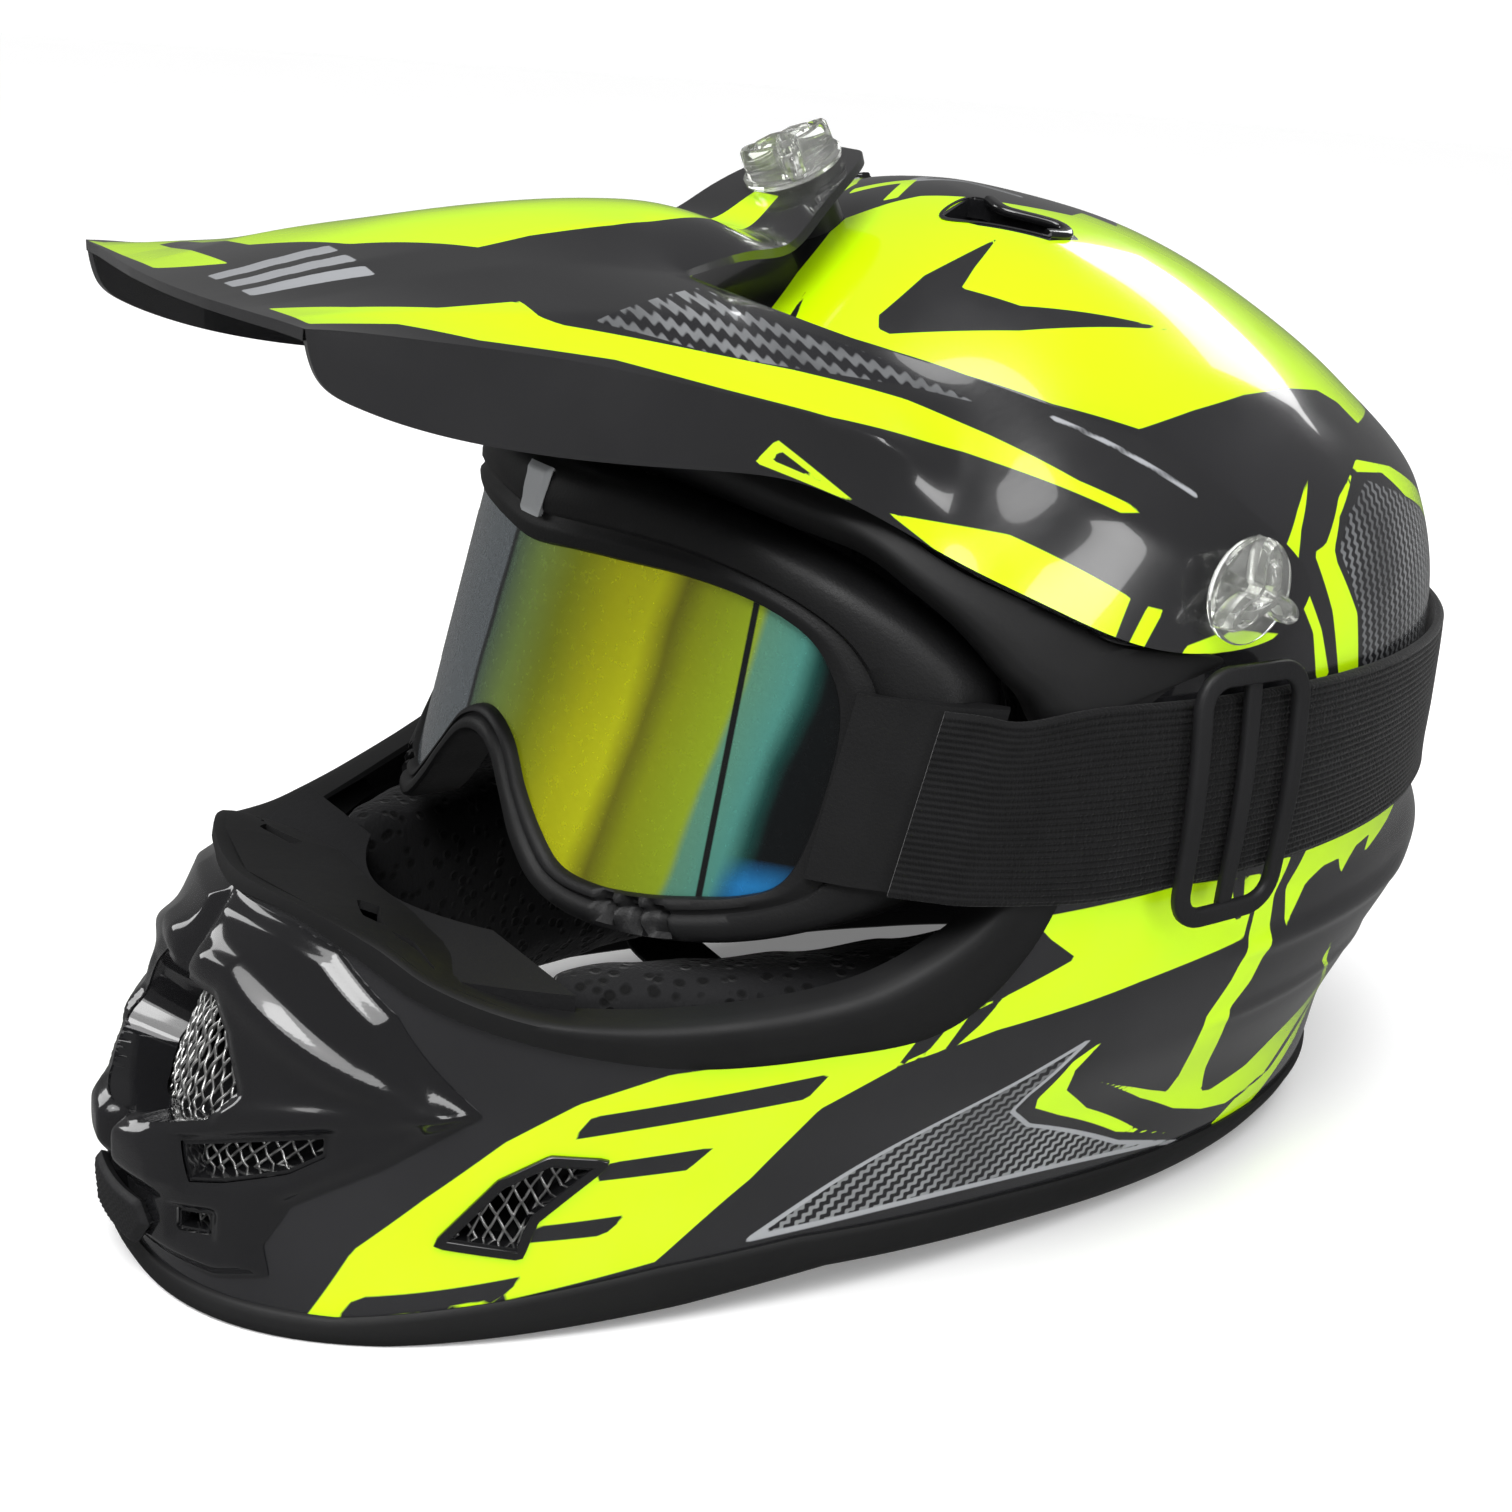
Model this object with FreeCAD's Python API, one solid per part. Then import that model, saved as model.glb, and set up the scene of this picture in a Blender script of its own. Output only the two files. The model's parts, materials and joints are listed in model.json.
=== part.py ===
import FreeCAD, Part
import math
import os

# Motocross helmet with peak, goggles and chin strap.
# Millimetres. +X is the wearer's left, -Y is the front, +Z is up, z = 0 is the floor.
# Shapes are drawn in a head frame (y = 0 near the ears) and moved by HEAD_Y on export.

HEAD_Y = 39.8
SHELL = 5.0                 # shell wall at the crown
FOAM_OUT = 5.3              # where the impact foam starts below the outer surface
TRIM_PROUD = 1.2            # how far the rubber trims stand proud of the shell
STRAP_IN = 1.8              # goggle strap, inner face above the shell
STRAP_OUT = 4.4             # goggle strap, outer face above the shell
BUCKLE_IN = 6.2
BUCKLE_OUT = 8.4
PIVOT_Y = -17.0             # axis of the two side screws, which the peak tilts about
PIVOT_Z = 178.0
TONGUE_R = 86.0             # the peak's tongue is an arc about that axis
TOP_ANGLE = 28.5            # lean of the top screw, degrees forward of upright
PEAK_T = 2.4
SCREW_R = 2.4
INSERT_HOLE_R = 2.7
HEAD_CENTRE = (0.0, -14.0, 110.0)
SIDES = (("left", 1), ("right", -1))

# Horizontal sections of the outer surface:
# height, front y, rear y, half width, y of the widest point, front and rear roundness.
SECTIONS = (
    (0, -227, 134, 90, -22, 2.5, 2.2),
    (12, -227, 136, 97, -18, 2.15, 2.2),
    (35, -228, 136, 103, -18, 1.9, 2.2),
    (60, -220, 142, 114, -22, 1.72, 2.2),
    (85, -205, 156, 120, -23, 1.8, 2.2),
    (105, -193, 143, 121, -22, 1.95, 2.2),
    (130, -172, 136, 122, -12, 2.1, 2.2),
    (160, -145, 133, 120, -6, 2.2, 2.2),
    (185, -122, 123, 115, -5, 2.2, 2.2),
    (210, -96, 97, 98, -6, 2.1, 2.1),
    (230, -70, 67, 75, -9, 2.0, 2.0),
    (244, -45, 36, 47, -14, 2.0, 2.0),
    (251, -26, 4, 18, -17, 2.0, 2.0),
)

# Sections of the hollow for the head inside the crown foam.
HEAD_SECTIONS = (
    (50, -98, 96, 88, -4, 2.2, 2.2),
    (75, -104, 100, 92, -4, 2.2, 2.2),
    (105, -108, 103, 93, -4, 2.2, 2.2),
    (140, -104, 102, 93, -4, 2.2, 2.2),
    (170, -92, 92, 86, -4, 2.2, 2.2),
    (192, -70, 74, 70, -2, 2.1, 2.1),
    (206, -40, 46, 44, 0, 2.0, 2.0),
    (212, -14, 20, 18, 2, 2.0, 2.0),
)

# Side-view outlines (y, z).
EYEPORT_OUTER = (
    (-270, 91), (-197, 91), (-190, 88), (-181, 81), (-168, 76), (-150, 72), (-130, 70),
    (-106, 72), (-79, 77), (-62, 95), (-52, 120), (-48, 146), (-30, 156), (-16, 160), (-36, 164),
    (-44, 165), (-55, 170), (-66, 176), (-78, 181), (-85, 187), (-92, 200), (-103, 205),
    (-270, 205),
)
EYEPORT_INNER = (
    (-270, 97), (-196, 97), (-186, 92), (-178, 86), (-163, 81), (-150, 80), (-132, 81),
    (-108, 85), (-91, 91), (-74, 104), (-64, 122), (-60, 142), (-63, 152), (-70, 159), (-76, 167),
    (-84, 176), (-94, 186), (-104, 191), (-270, 193),
)
FOAM_OPENING = (
    (-270, 66), (-46, 66), (-44, 120), (-46, 152), (-52, 168), (-64, 179), (-84, 188),
    (-96, 192), (-108, 194), (-270, 194),
)
BOTTOM_EDGE = (
    (-260, 0), (-190, 0), (-127, 4), (-90, 8), (-37, 5), (20, 1), (60, 0), (160, 0),
)
BOTTOM_TRIM_TOP = (
    (-260, 8), (-189, 8), (-171, 12), (-132, 16), (-98, 19), (-42, 18), (20, 15), (160, 10),
)
SIDE_VENT = ((-180, 25), (-164, 22), (-162, 31), (-147, 45), (-158, 46), (-168, 40))

# Front-view outlines (x, z), right half given, left half mirrored.
MOUTHPIECE = ((0, 90.6), (23, 90), (36, 88), (51, 77), (66, 56), (55, 42), (43, 31), (39, 20),
              (41, 13), (31, 9.5), (0, 9.5))
CHIN_WINDOW = ((0, 72), (14, 71), (21, 65), (28, 54), (25, 47), (12, 42), (0, 39))
CHIN_SLOT = ((29, 42), (33, 45), (46, 49), (47, 44), (42, 39), (31, 33))
CHIN_LOW_WINDOW = ((20, 24), (29, 26), (29, 20), (20, 18))

# Goggles, front view (x, z), right half.
FRAME_OUTLINE = ((0, 187), (32, 187), (52, 184), (70, 178), (84, 171), (94, 164), (101, 155),
                 (103, 140), (103, 118), (100, 107), (92, 99), (78, 92), (62, 89), (45, 89),
                 (32, 93), (22, 101), (14, 111), (7, 118), (0, 120))
LENS_OUTLINE = ((0, 168), (30, 170), (52, 170), (68, 166), (79, 158), (84, 147), (86, 128),
                (84, 110), (77, 103), (64, 99), (50, 97), (38, 98), (29, 104), (20, 114),
                (12, 123), (5, 128), (0, 129))
FOAM_OUTLINE = ((0, 181), (32, 181), (50, 178), (66, 172), (79, 165), (87, 157), (92, 146),
                (94, 130), (93, 112), (87, 101), (76, 94), (62, 91.5), (46, 91.5), (34, 96),
                (24, 105), (15, 115), (7, 121), (0, 122))
FRAME_DEPTH = 14.0
FOAM_DEPTH = 12.0


def vec(x, y, z):
    return FreeCAD.Vector(x, y, z)


def mirrored(shape):
    return shape.mirror(vec(0, 0, 0), vec(1, 0, 0))


def side_of(shape, sign):
    return shape if sign > 0 else mirrored(shape)


def export(shape, name):
    moved = shape.copy()
    moved.translate(vec(0, HEAD_Y, 0))
    moved.exportStep("parts/" + name + ".step")
    print(name, len(moved.Solids), round(moved.Volume), moved.isValid())


def group(shapes):
    return Part.makeCompound(shapes)


def section_wire(row, inset):
    """One closed horizontal section, shrunk towards the centre of the head by the inset."""
    z, front, rear, half, widest, n_front, n_rear = row
    scale = 1.0 - inset / 140.0
    if z > HEAD_CENTRE[2]:
        z = HEAD_CENTRE[2] + (z - HEAD_CENTRE[2]) * scale
    points = []
    count = 28
    for i in range(count):
        angle = 2 * math.pi * i / count
        s = math.sin(angle)
        c = math.cos(angle)
        n = n_front if c < 0 else n_rear
        length = widest - front if c < 0 else rear - widest
        x = half * math.copysign(abs(s) ** (2.0 / n), s)
        y = widest + length * math.copysign(abs(c) ** (2.0 / n), c)
        y = HEAD_CENTRE[1] + (y - HEAD_CENTRE[1]) * scale
        points.append(vec(x * scale, y, z))
    curve = Part.BSplineCurve()
    knots = [i / count for i in range(count + 1)]
    curve.interpolate(Points=points, PeriodicFlag=True, Parameters=knots)
    return Part.Wire(curve.toShape())


LOFTS = {}


def body(inset, rows=SECTIONS):
    """Solid bounded by the outer surface moved inwards; it runs on below the floor."""
    key = (inset, rows)
    if key not in LOFTS:
        first = rows[0]
        below = (first[0] - 8.0,) + first[1:]
        wires = []
        if inset != 0:
            wires.append(section_wire(below, inset))
        for row in rows:
            wires.append(section_wire(row, inset))
        LOFTS[key] = Part.makeLoft(wires, True, False)
    return LOFTS[key].copy()


def layer(outer_inset, inner_inset):
    return body(outer_inset).cut(body(inner_inset))


def side_prism(outline, x0=-200.0, x1=200.0):
    """Solid through the whole helmet along X, cut to a side-view outline."""
    points = [vec(x0, y, z) for y, z in outline]
    face = Part.Face(Part.makePolygon(points + points[:1]))
    return face.extrude(vec(x1 - x0, 0, 0))


def front_points(outline, both_sides=True):
    if not both_sides:
        return list(outline)
    left = [(-x, z) for x, z in reversed(outline) if x > 0]
    return list(outline) + left


def front_prism(outline, y0, y1, both_sides=True):
    points = [vec(x, y0, z) for x, z in front_points(outline, both_sides)]
    face = Part.Face(Part.makePolygon(points + points[:1]))
    return face.extrude(vec(0, y1 - y0, 0))


def block(x0, x1, y0, y1, z0, z1):
    return Part.makeBox(x1 - x0, y1 - y0, z1 - z0, vec(x0, y0, z0))


def plan_prism(points, z0, z1, lean=0.0):
    """Plan outline (x, y) extruded up; lean moves it back by that much per unit of height."""
    verts = [vec(x, y, z0) for x, y in points]
    face = Part.Face(Part.makePolygon(verts + verts[:1]))
    height = z1 - z0
    return face.extrude(vec(0, lean * height, height))


def ribbon(points, thickness):
    """Closed outline of a band of even thickness along an open polyline of pairs."""
    left = []
    right = []
    last = len(points) - 1
    for i, (a, b) in enumerate(points):
        a0, b0 = points[max(i - 1, 0)]
        a1, b1 = points[min(i + 1, last)]
        length = math.hypot(a1 - a0, b1 - b0)
        na = -(b1 - b0) / length * thickness / 2
        nb = (a1 - a0) / length * thickness / 2
        left.append((a + na, b + nb))
        right.append((a - na, b - nb))
    return left + right[::-1]


# ---------------------------------------------------------------- shell and its openings

EYEPORT_CUT = side_prism(EYEPORT_OUTER)
EYEPORT_HOLE = side_prism(EYEPORT_INNER)
BELOW_TRIM = side_prism(((-270, -20),) + BOTTOM_TRIM_TOP + ((160, -20),))
BELOW_EDGE = side_prism(((-270, -20),) + BOTTOM_EDGE + ((160, -20),))
VENT_CUT = side_prism(SIDE_VENT)


def chin_windows(y0, y1):
    cuts = [front_prism(CHIN_WINDOW, y0, y1)]
    for outline in (CHIN_SLOT, CHIN_LOW_WINDOW):
        one = front_prism(outline, y0, y1, False)
        cuts.append(one)
        cuts.append(mirrored(one))
    return cuts


def crown_vent_cut(sign):
    """Slot in the crown that takes in air, leaning back along the surface."""
    cut = block(-9, 9, -3, 3, -30, 30)
    cut.rotate(vec(0, 0, 0), vec(0, 0, 1), 38)
    cut.translate(vec(38, -20, 240))
    return side_of(cut, sign)


def rear_vent_cut(sign):
    cut = block(14, 46, 90, 160, 62, 72)
    return side_of(cut, sign)


def insert_at(kind):
    """Placement of a thumb screw: its axis through the pivot axis, and where it stands."""
    if kind == "top":
        lean = math.radians(TOP_ANGLE)
        return vec(0, PIVOT_Y, PIVOT_Z), vec(0, -math.sin(lean), math.cos(lean))
    sign = 1 if kind == "left" else -1
    return vec(0, PIVOT_Y, PIVOT_Z), vec(sign, 0, 0)


def rod(kind, radius, start, end):
    base, axis = insert_at(kind)
    return Part.makeCylinder(radius, end - start, base + axis * start, axis)


SIDE_FACE = 118.8           # flat outer end of each side boss
TOP_FACE = TONGUE_R - PEAK_T - 0.7

boss_cores = []
for place, start in (("left", 100.0), ("right", 100.0), ("top", 58.0)):
    boss_cores.append(rod(place, 7.5, start, start + 60.0))

shell = body(0).cut(body(SHELL))
shell = shell.cut(EYEPORT_CUT).cut(BELOW_TRIM).cut(VENT_CUT)
shell = shell.cut(group(chin_windows(-260, -120)))
for label, sign in SIDES:
    shell = shell.cut(crown_vent_cut(sign)).cut(rear_vent_cut(sign))
for core in boss_cores:
    shell = shell.cut(core)
export(shell, "outer_shell")

# Bosses are moulded collars round each threaded insert.
side_boss = rod("left", 7.5, 107.0, SIDE_FACE).cut(rod("left", 4.6, 100.0, 130.0))
top_boss = rod("top", 7.5, 62.0, TOP_FACE).cut(rod("top", 4.6, 50.0, 100.0))
export(group([side_boss, mirrored(side_boss)]), "side_screw_bosses")
export(top_boss, "top_screw_boss")
side_insert = rod("left", 4.6, 108.0, SIDE_FACE - 0.4).cut(rod("left", INSERT_HOLE_R, 90, 130))
top_insert = rod("top", 4.6, 63.0, TOP_FACE - 0.4).cut(rod("top", INSERT_HOLE_R, 50, 100))
export(group([side_insert, mirrored(side_insert), top_insert]), "threaded_inserts")

trim = layer(-TRIM_PROUD, SHELL).common(EYEPORT_CUT).cut(EYEPORT_HOLE)
export(trim, "eyeport_trim")
bottom = layer(-TRIM_PROUD, SHELL).common(BELOW_TRIM).cut(BELOW_EDGE)
export(bottom, "bottom_trim")

# ---------------------------------------------------------------- foam and padding

head_hollow = body(0.01, HEAD_SECTIONS)
foam_gap = side_prism(FOAM_OPENING)
liner = body(FOAM_OUT).cut(head_hollow).cut(foam_gap)
liner = liner.cut(block(-150, 150, -260, 160, -20, 66))
liner = liner.cut(block(-150, 150, -260, 37, -20, 83))
for core in boss_cores:
    liner = liner.cut(core)
export(liner, "impact_liner")

comfort = body(0.6, HEAD_SECTIONS).cut(body(15.0, HEAD_SECTIONS)).cut(foam_gap)
comfort = comfort.cut(block(-150, 150, -260, 160, -20, 68))
comfort = comfort.cut(block(-150, 150, -260, 37, -20, 83))
export(comfort, "comfort_liner")

# Rivet that holds the chin strap and its anchor plate to the side of the shell.
rivet = Part.makeCylinder(2.4, 40, vec(75, -29, 51), vec(1, 0, 0))
rivet = rivet.common(layer(FOAM_OUT, 15.4))

FACE_GAP = ((-40, -300), (40, -300), (46, -140), (56, -100), (63, -60), (66, 0), (62, 42),
            (-62, 42), (-66, 0), (-63, -60), (-56, -100), (-46, -140))
face_space = plan_prism(FACE_GAP, -20, 120)
for label, sign in SIDES:
    span = block(20, 130, -150, 36, 14, 82)
    pad = body(16.0).common(span).cut(face_space)
    ear = Part.makeCylinder(24, 40, vec(66, -2, 66), vec(-1, 0, 0))
    ear.translate(vec(14, 0, 0))
    pad = pad.cut(ear)
    export(side_of(pad, sign), "cheek_pad_" + label)
    plate = layer(FOAM_OUT, 11.6).common(block(20, 130, -150, 36, 24, 82))
    plate = plate.cut(EYEPORT_CUT)
    export(side_of(plate.cut(VENT_CUT).cut(rivet), sign), "side_liner_" + label)

chin_span = block(-100, 100, -260, -152, 22, 84)
chin_foam = layer(FOAM_OUT, 30.0).common(chin_span)
chin_foam = chin_foam.cut(block(-30, 30, -260, -140, 38, 74))
side_notch = block(45, 130, -178, -158, 24, 46)
chin_foam = chin_foam.cut(side_notch).cut(mirrored(side_notch))
export(chin_foam, "chin_impact_liner")

neck = body(FOAM_OUT + 0.3).common(block(-120, 120, 40, 150, 12, 65))
neck_hole = Part.makeCylinder(74, 90, vec(0, 14, -10), vec(0, 0, 1))
neck = neck.cut(neck_hole).cut(group([rear_vent_cut(1), rear_vent_cut(-1)]))
export(neck, "neck_roll")

# ---------------------------------------------------------------- chin bar parts

mouth = layer(-3.4, -0.1).common(front_prism(MOUTHPIECE, -260, -150))
mouth = mouth.cut(group(chin_windows(-260, -120))).cut(EYEPORT_CUT).cut(shell)
export(mouth, "mouthpiece")


def grille(x0, x1, z0, z1, y0, y1, pitch, wire):
    """Upright and level bars over a rectangle, running through from y0 to y1."""
    bars = []
    for i in range(int((x1 - x0) / pitch) + 1):
        x = x0 + i * pitch
        bars.append(block(x - wire / 2, x + wire / 2, y0, y1, z0, z1))
    for i in range(int((z1 - z0) / pitch) + 1):
        z = z0 + i * pitch
        bars.append(block(x0, x1, y0, y1, z - wire / 2, z + wire / 2))
    return bars[0].multiFuse(bars[1:])


mesh_sheet = layer(1.4, 2.8)
centre_mesh = grille(-29.4, 30, 38, 74, -260, -150, 4.2, 1.2)
centre_mesh = centre_mesh.common(front_prism(CHIN_WINDOW, -260, -150)).common(mesh_sheet)
slot_mesh = grille(28, 50, 32, 52, -260, -150, 4.2, 1.2)
slot_mesh = slot_mesh.common(front_prism(CHIN_SLOT, -260, -150, False)).common(mesh_sheet)
low_mesh = grille(19, 32, 17, 29, -260, -150, 3.4, 1.2)
low_mesh = low_mesh.common(front_prism(CHIN_LOW_WINDOW, -260, -150, False)).common(mesh_sheet)
export(centre_mesh, "chin_mesh_centre")
export(group([slot_mesh, mirrored(slot_mesh), low_mesh, mirrored(low_mesh)]), "chin_mesh_sides")

bars = []
for i in range(8):
    y = -178 + i * 4.2
    bars.append(block(50, 110, y - 0.6, y + 0.6, 18, 50))
for i in range(7):
    z = 22 + i * 4.2
    bars.append(block(50, 110, -186, -142, z - 0.6, z + 0.6))
vent_mesh = bars[0].multiFuse(bars[1:]).common(VENT_CUT).common(mesh_sheet)
rear_bars = []
for i in range(9):
    x = 12 + i * 4.2
    rear_bars.append(block(x - 0.6, x + 0.6, 80, 160, 58, 76))
rear_bars.append(block(10, 50, 80, 160, 66.4, 67.6))
rear_mesh = rear_bars[0].multiFuse(rear_bars[1:]).common(rear_vent_cut(1)).common(mesh_sheet)
for label, sign in SIDES:
    export(side_of(vent_mesh, sign), "side_vent_mesh_" + label)
export(group([rear_mesh, mirrored(rear_mesh)]), "rear_vent_mesh")

hood_outline = ((-12.5, -6.5), (12.5, -6.5), (11.5, 7.5), (-11.5, 7.5))
hood_points = [vec(x, y, 0) for x, y in hood_outline]
hood = Part.Face(Part.makePolygon(hood_points + hood_points[:1])).extrude(vec(0, 0, 60))
hood.rotate(vec(0, 0, 0), vec(0, 0, 1), 38)
hood.translate(vec(38, -20, 215))
hood = hood.common(layer(-3.0, 0)).cut(crown_vent_cut(1))
for label, sign in SIDES:
    export(side_of(hood, sign), "crown_vent_hood_" + label)

guard = layer(9.0, 11.5).common(block(-60, 60, -240, -150, 84, 99))
for i in range(3):
    hole = block(22 + 14 * i, 31 + 14 * i, -240, -150, 89, 93)
    guard = guard.cut(hole).cut(mirrored(hole))
export(guard, "breath_guard")

# Slider that closes the lower chin vent: a tab in front of the mouthpiece.
tab = layer(-6.0, -3.7).common(front_prism(((0, 24), (12, 24), (15.5, 18), (11, 10), (0, 10)),
                                           -260, -200))
export(tab, "chin_vent_slider")

# ---------------------------------------------------------------- peak

def shell_x(y, z):
    """Half width of the outer surface at a point of the side view."""
    for low, high in zip(SECTIONS, SECTIONS[1:]):
        if low[0] <= z <= high[0]:
            t = (z - low[0]) / (high[0] - low[0])
            row = [a + (b - a) * t for a, b in zip(low, high)]
    front, rear, half, widest, n_front, n_rear = row[1:]
    n = n_front if y < widest else n_rear
    length = widest - front if y < widest else rear - widest
    return half * (1 - min(1.0, abs(y - widest) / length) ** n) ** (1.0 / n)


def arc_z(y):
    """Height of the tongue, an arc about the tilt axis."""
    return PIVOT_Z + math.sqrt(TONGUE_R ** 2 - (y - PIVOT_Y) ** 2)


ARM_OFF = 6.4               # outer face of an arm above the shell


def arm_point(y, z, extra=0.0):
    return (shell_x(y, z) + ARM_OFF + extra, y, z)


# Rows run from the middle of the peak out to its lower edge, front row first.
PEAK_ROWS = (
    ((0, -217, 229.5), (22, -216, 229.7), (36, -214.5, 229.8), (50, -213, 230),
     (61, -212, 230), (61.5, -210.5, 219.5)),
    ((0, -206, 232), (24, -205, 231.5), (37, -204.5, 230.8), (50, -204, 230.8),
     (62, -203.5, 229.6), (63, -203, 215)),
    ((0, -186, 238.5), (23, -186, 237), (36, -185, 234), (51, -184, 231.5),
     (64, -184, 227), (63.5, -184, 208)),
    ((0, -158, 245.5), (22, -157, 240.5), (34.5, -156, 238), (55, -154, 230.5),
     (66.5, -154, 223), (68, -154, 202.5)),
    ((0, -130, 248), (20, -129, 243.5), (34, -127, 236.8), (57, -126, 230),
     (72, -125, 216.5), (72.5, -124, 200)),
    ((0, -110, 248), (18, -110, 245), (33, -111, 235), (54, -104, 230),
     (80, -107, 213), (77.5, -107, 198.5)),
)
# Arm rows: upper edge, crease, lower edge, from the hood back to the side screw.
ARM_ROWS = (
    ((68, -84, 224), (91, -90, 207), arm_point(-91, 191, 1.5)),
    ((82, -66, 219.5), arm_point(-74, 201), arm_point(-80, 183, 1.0)),
    ((94, -50, 213.5), arm_point(-56, 195), arm_point(-66, 176.5)),
    ((103.5, -32, 209), arm_point(-38, 190), arm_point(-50, 168.5)),
    (arm_point(-14, 197), arm_point(-20, 182), arm_point(-32, 163.5, -1.2)),
    (arm_point(2, 184), arm_point(-4, 175), arm_point(-8, 163, -2.0)),
    (arm_point(6, 178), arm_point(6, 175), arm_point(4, 168, -1.6)),
)
TONGUE_ROWS = (
    (-90, 30, 246),
    (-78, 27.5, None),
    (-69, 24, None),
    (-60, 20, None),
    (-51, 15, None),
    (-44, 9, None),
)


def tongue_point(x, y, z):
    return (x, y, arc_z(y) if z is None else z)


def peak_triangles():
    tris = []

    def quad(a, b, c, d):
        tris.append((a, b, c))
        tris.append((a, c, d))

    for row, after in zip(PEAK_ROWS, PEAK_ROWS[1:]):
        for i in range(5):
            quad(row[i], row[i + 1], after[i + 1], after[i])
    last = PEAK_ROWS[-1]
    first = ARM_ROWS[0]
    quad(last[3], last[4], first[1], first[0])
    quad(last[4], last[5], first[2], first[1])
    tris.append((last[2], last[3], first[0]))
    for row, after in zip(ARM_ROWS, ARM_ROWS[1:]):
        quad(row[0], row[1], after[1], after[0])
        quad(row[1], row[2], after[2], after[1])
    rows = []
    for y, half, z in TONGUE_ROWS:
        rows.append((tongue_point(0, y, z), tongue_point(half * 0.5, y, z),
                     tongue_point(half, y, None if z is None else z - 6)))
    quad(last[0], last[1], rows[0][1], rows[0][0])
    quad(last[1], last[2], rows[0][2], rows[0][1])
    for row, after in zip(rows, rows[1:]):
        quad(row[0], row[1], after[1], after[0])
        quad(row[1], row[2], after[2], after[1])
    both = list(tris)
    for a, b, c in tris:
        flip = [(-p[0], p[1], p[2]) for p in (a, c, b)]
        both.append(tuple(flip))
    return both


def thick_sheet(tris, thickness):
    """Close a triangulated sheet into a solid by moving a copy of it inwards."""
    key = lambda p: tuple(round(v + 0.0, 4) for v in p)
    normals = {}
    for tri in tris:
        a, b, c = [vec(*p) for p in tri]
        n = (b - a).cross(c - a)
        n.normalize()
        for p in tri:
            normals.setdefault(key(p), []).append(n)
    inner = {}
    for p, found in normals.items():
        total = vec(0, 0, 0)
        for n in found:
            total = total + n
        total.normalize()
        inner[p] = vec(*p) - total * thickness
    faces = []
    edges = {}
    for tri in tris:
        ids = [key(p) for p in tri]
        outer = [vec(*p) for p in ids]
        under = [inner[p] for p in ids]
        faces.append(Part.Face(Part.makePolygon(outer + outer[:1])))
        faces.append(Part.Face(Part.makePolygon(under[::-1] + under[-1:])))
        for i in range(3):
            pair = (ids[i], ids[(i + 1) % 3])
            edges[pair] = edges.get(pair, 0) + 1
    for a, b in edges:
        if (b, a) in edges:
            continue
        ring = [vec(*a), inner[a], inner[b]]
        faces.append(Part.Face(Part.makePolygon(ring + ring[:1])))
        ring = [vec(*a), inner[b], vec(*b)]
        faces.append(Part.Face(Part.makePolygon(ring + ring[:1])))
    solid = Part.Solid(Part.makeShell(faces))
    if solid.Volume < 0:
        solid.reverse()
    return solid


peak = thick_sheet(peak_triangles(), PEAK_T).cut(body(-0.8))
boss_room = rod("left", 9.0, 100.0, SIDE_FACE + 0.4)
peak = peak.cut(boss_room).cut(mirrored(boss_room))
pad = rod("left", 12.0, SIDE_FACE + 0.7, 124.4)
peak = peak.fuse(pad).fuse(mirrored(pad))
slot_parts = []
for step in range(8):
    angle = math.radians(TOP_ANGLE - 3.2 + step * 1.95)
    axis = vec(0, -math.sin(angle), math.cos(angle))
    start = vec(0, PIVOT_Y, PIVOT_Z) + axis * (TONGUE_R - 8)
    slot_parts.append(Part.makeCylinder(SCREW_R + 0.9, 16, start, axis))
peak = peak.cut(slot_parts[0].multiFuse(slot_parts[1:]))
peak = peak.cut(rod("left", INSERT_HOLE_R, 100, 140)).cut(rod("right", INSERT_HOLE_R, 100, 140))
export(peak, "peak")


def thumb_screw(kind, face, depth):
    """Three-winged screw: a flange, a hub with wings, and a shank that reaches the insert."""
    base, axis = insert_at(kind)
    flange = rod(kind, 12.5, face, face + 2.2)
    hub = rod(kind, 7.0, face + 2.2, face + 9.5)
    shank = rod(kind, SCREW_R, face - depth, face + 1.0)
    wings = []
    for i in range(3):
        wing = Part.makeBox(12.0, 4.0, 9.0, vec(0, -2.0, face + 2.0))
        wing.rotate(vec(0, 0, 0), vec(0, 0, 1), 120 * i + 30)
        turn = FreeCAD.Rotation(vec(0, 0, 1), axis)
        wing.Placement = FreeCAD.Placement(base, turn).multiply(wing.Placement)
        wings.append(wing)
    return flange.fuse([hub, shank] + wings).removeSplitter()


export(thumb_screw("left", 124.8, 14.5), "peak_screw_left")
export(thumb_screw("right", 124.8, 14.5), "peak_screw_right")
export(thumb_screw("top", TONGUE_R + 0.9, 20.0), "peak_screw_top")

# ---------------------------------------------------------------- goggles

GOGGLE_Z = 124.0
GOGGLE_LEAN = 0.25          # the frame leans back by this much per unit of height


def goggle_y(x):
    """Front face of the frame at the level of its middle."""
    return -139.0 + 0.0052 * x * x


def goggle_slab(front, back):
    """Curved and leaning slab between two offsets behind the front face of the frame."""
    steps = 22
    xs = [-112 + 224 * i / steps for i in range(steps + 1)]
    shift = -GOGGLE_LEAN * (GOGGLE_Z - 80)
    fore = [vec(x, goggle_y(x) + front + shift, 80) for x in xs]
    aft = [vec(x, goggle_y(x) + back + shift, 80) for x in xs]
    front_curve = Part.BSplineCurve()
    front_curve.interpolate(fore)
    back_curve = Part.BSplineCurve()
    back_curve.interpolate(aft)
    ends = [Part.makeLine(fore[-1], aft[-1]), Part.makeLine(aft[0], fore[0])]
    wire = Part.Wire([front_curve.toShape(), ends[0], back_curve.toShape(), ends[1]])
    return Part.Face(wire).extrude(vec(0, GOGGLE_LEAN * 115, 115))


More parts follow.
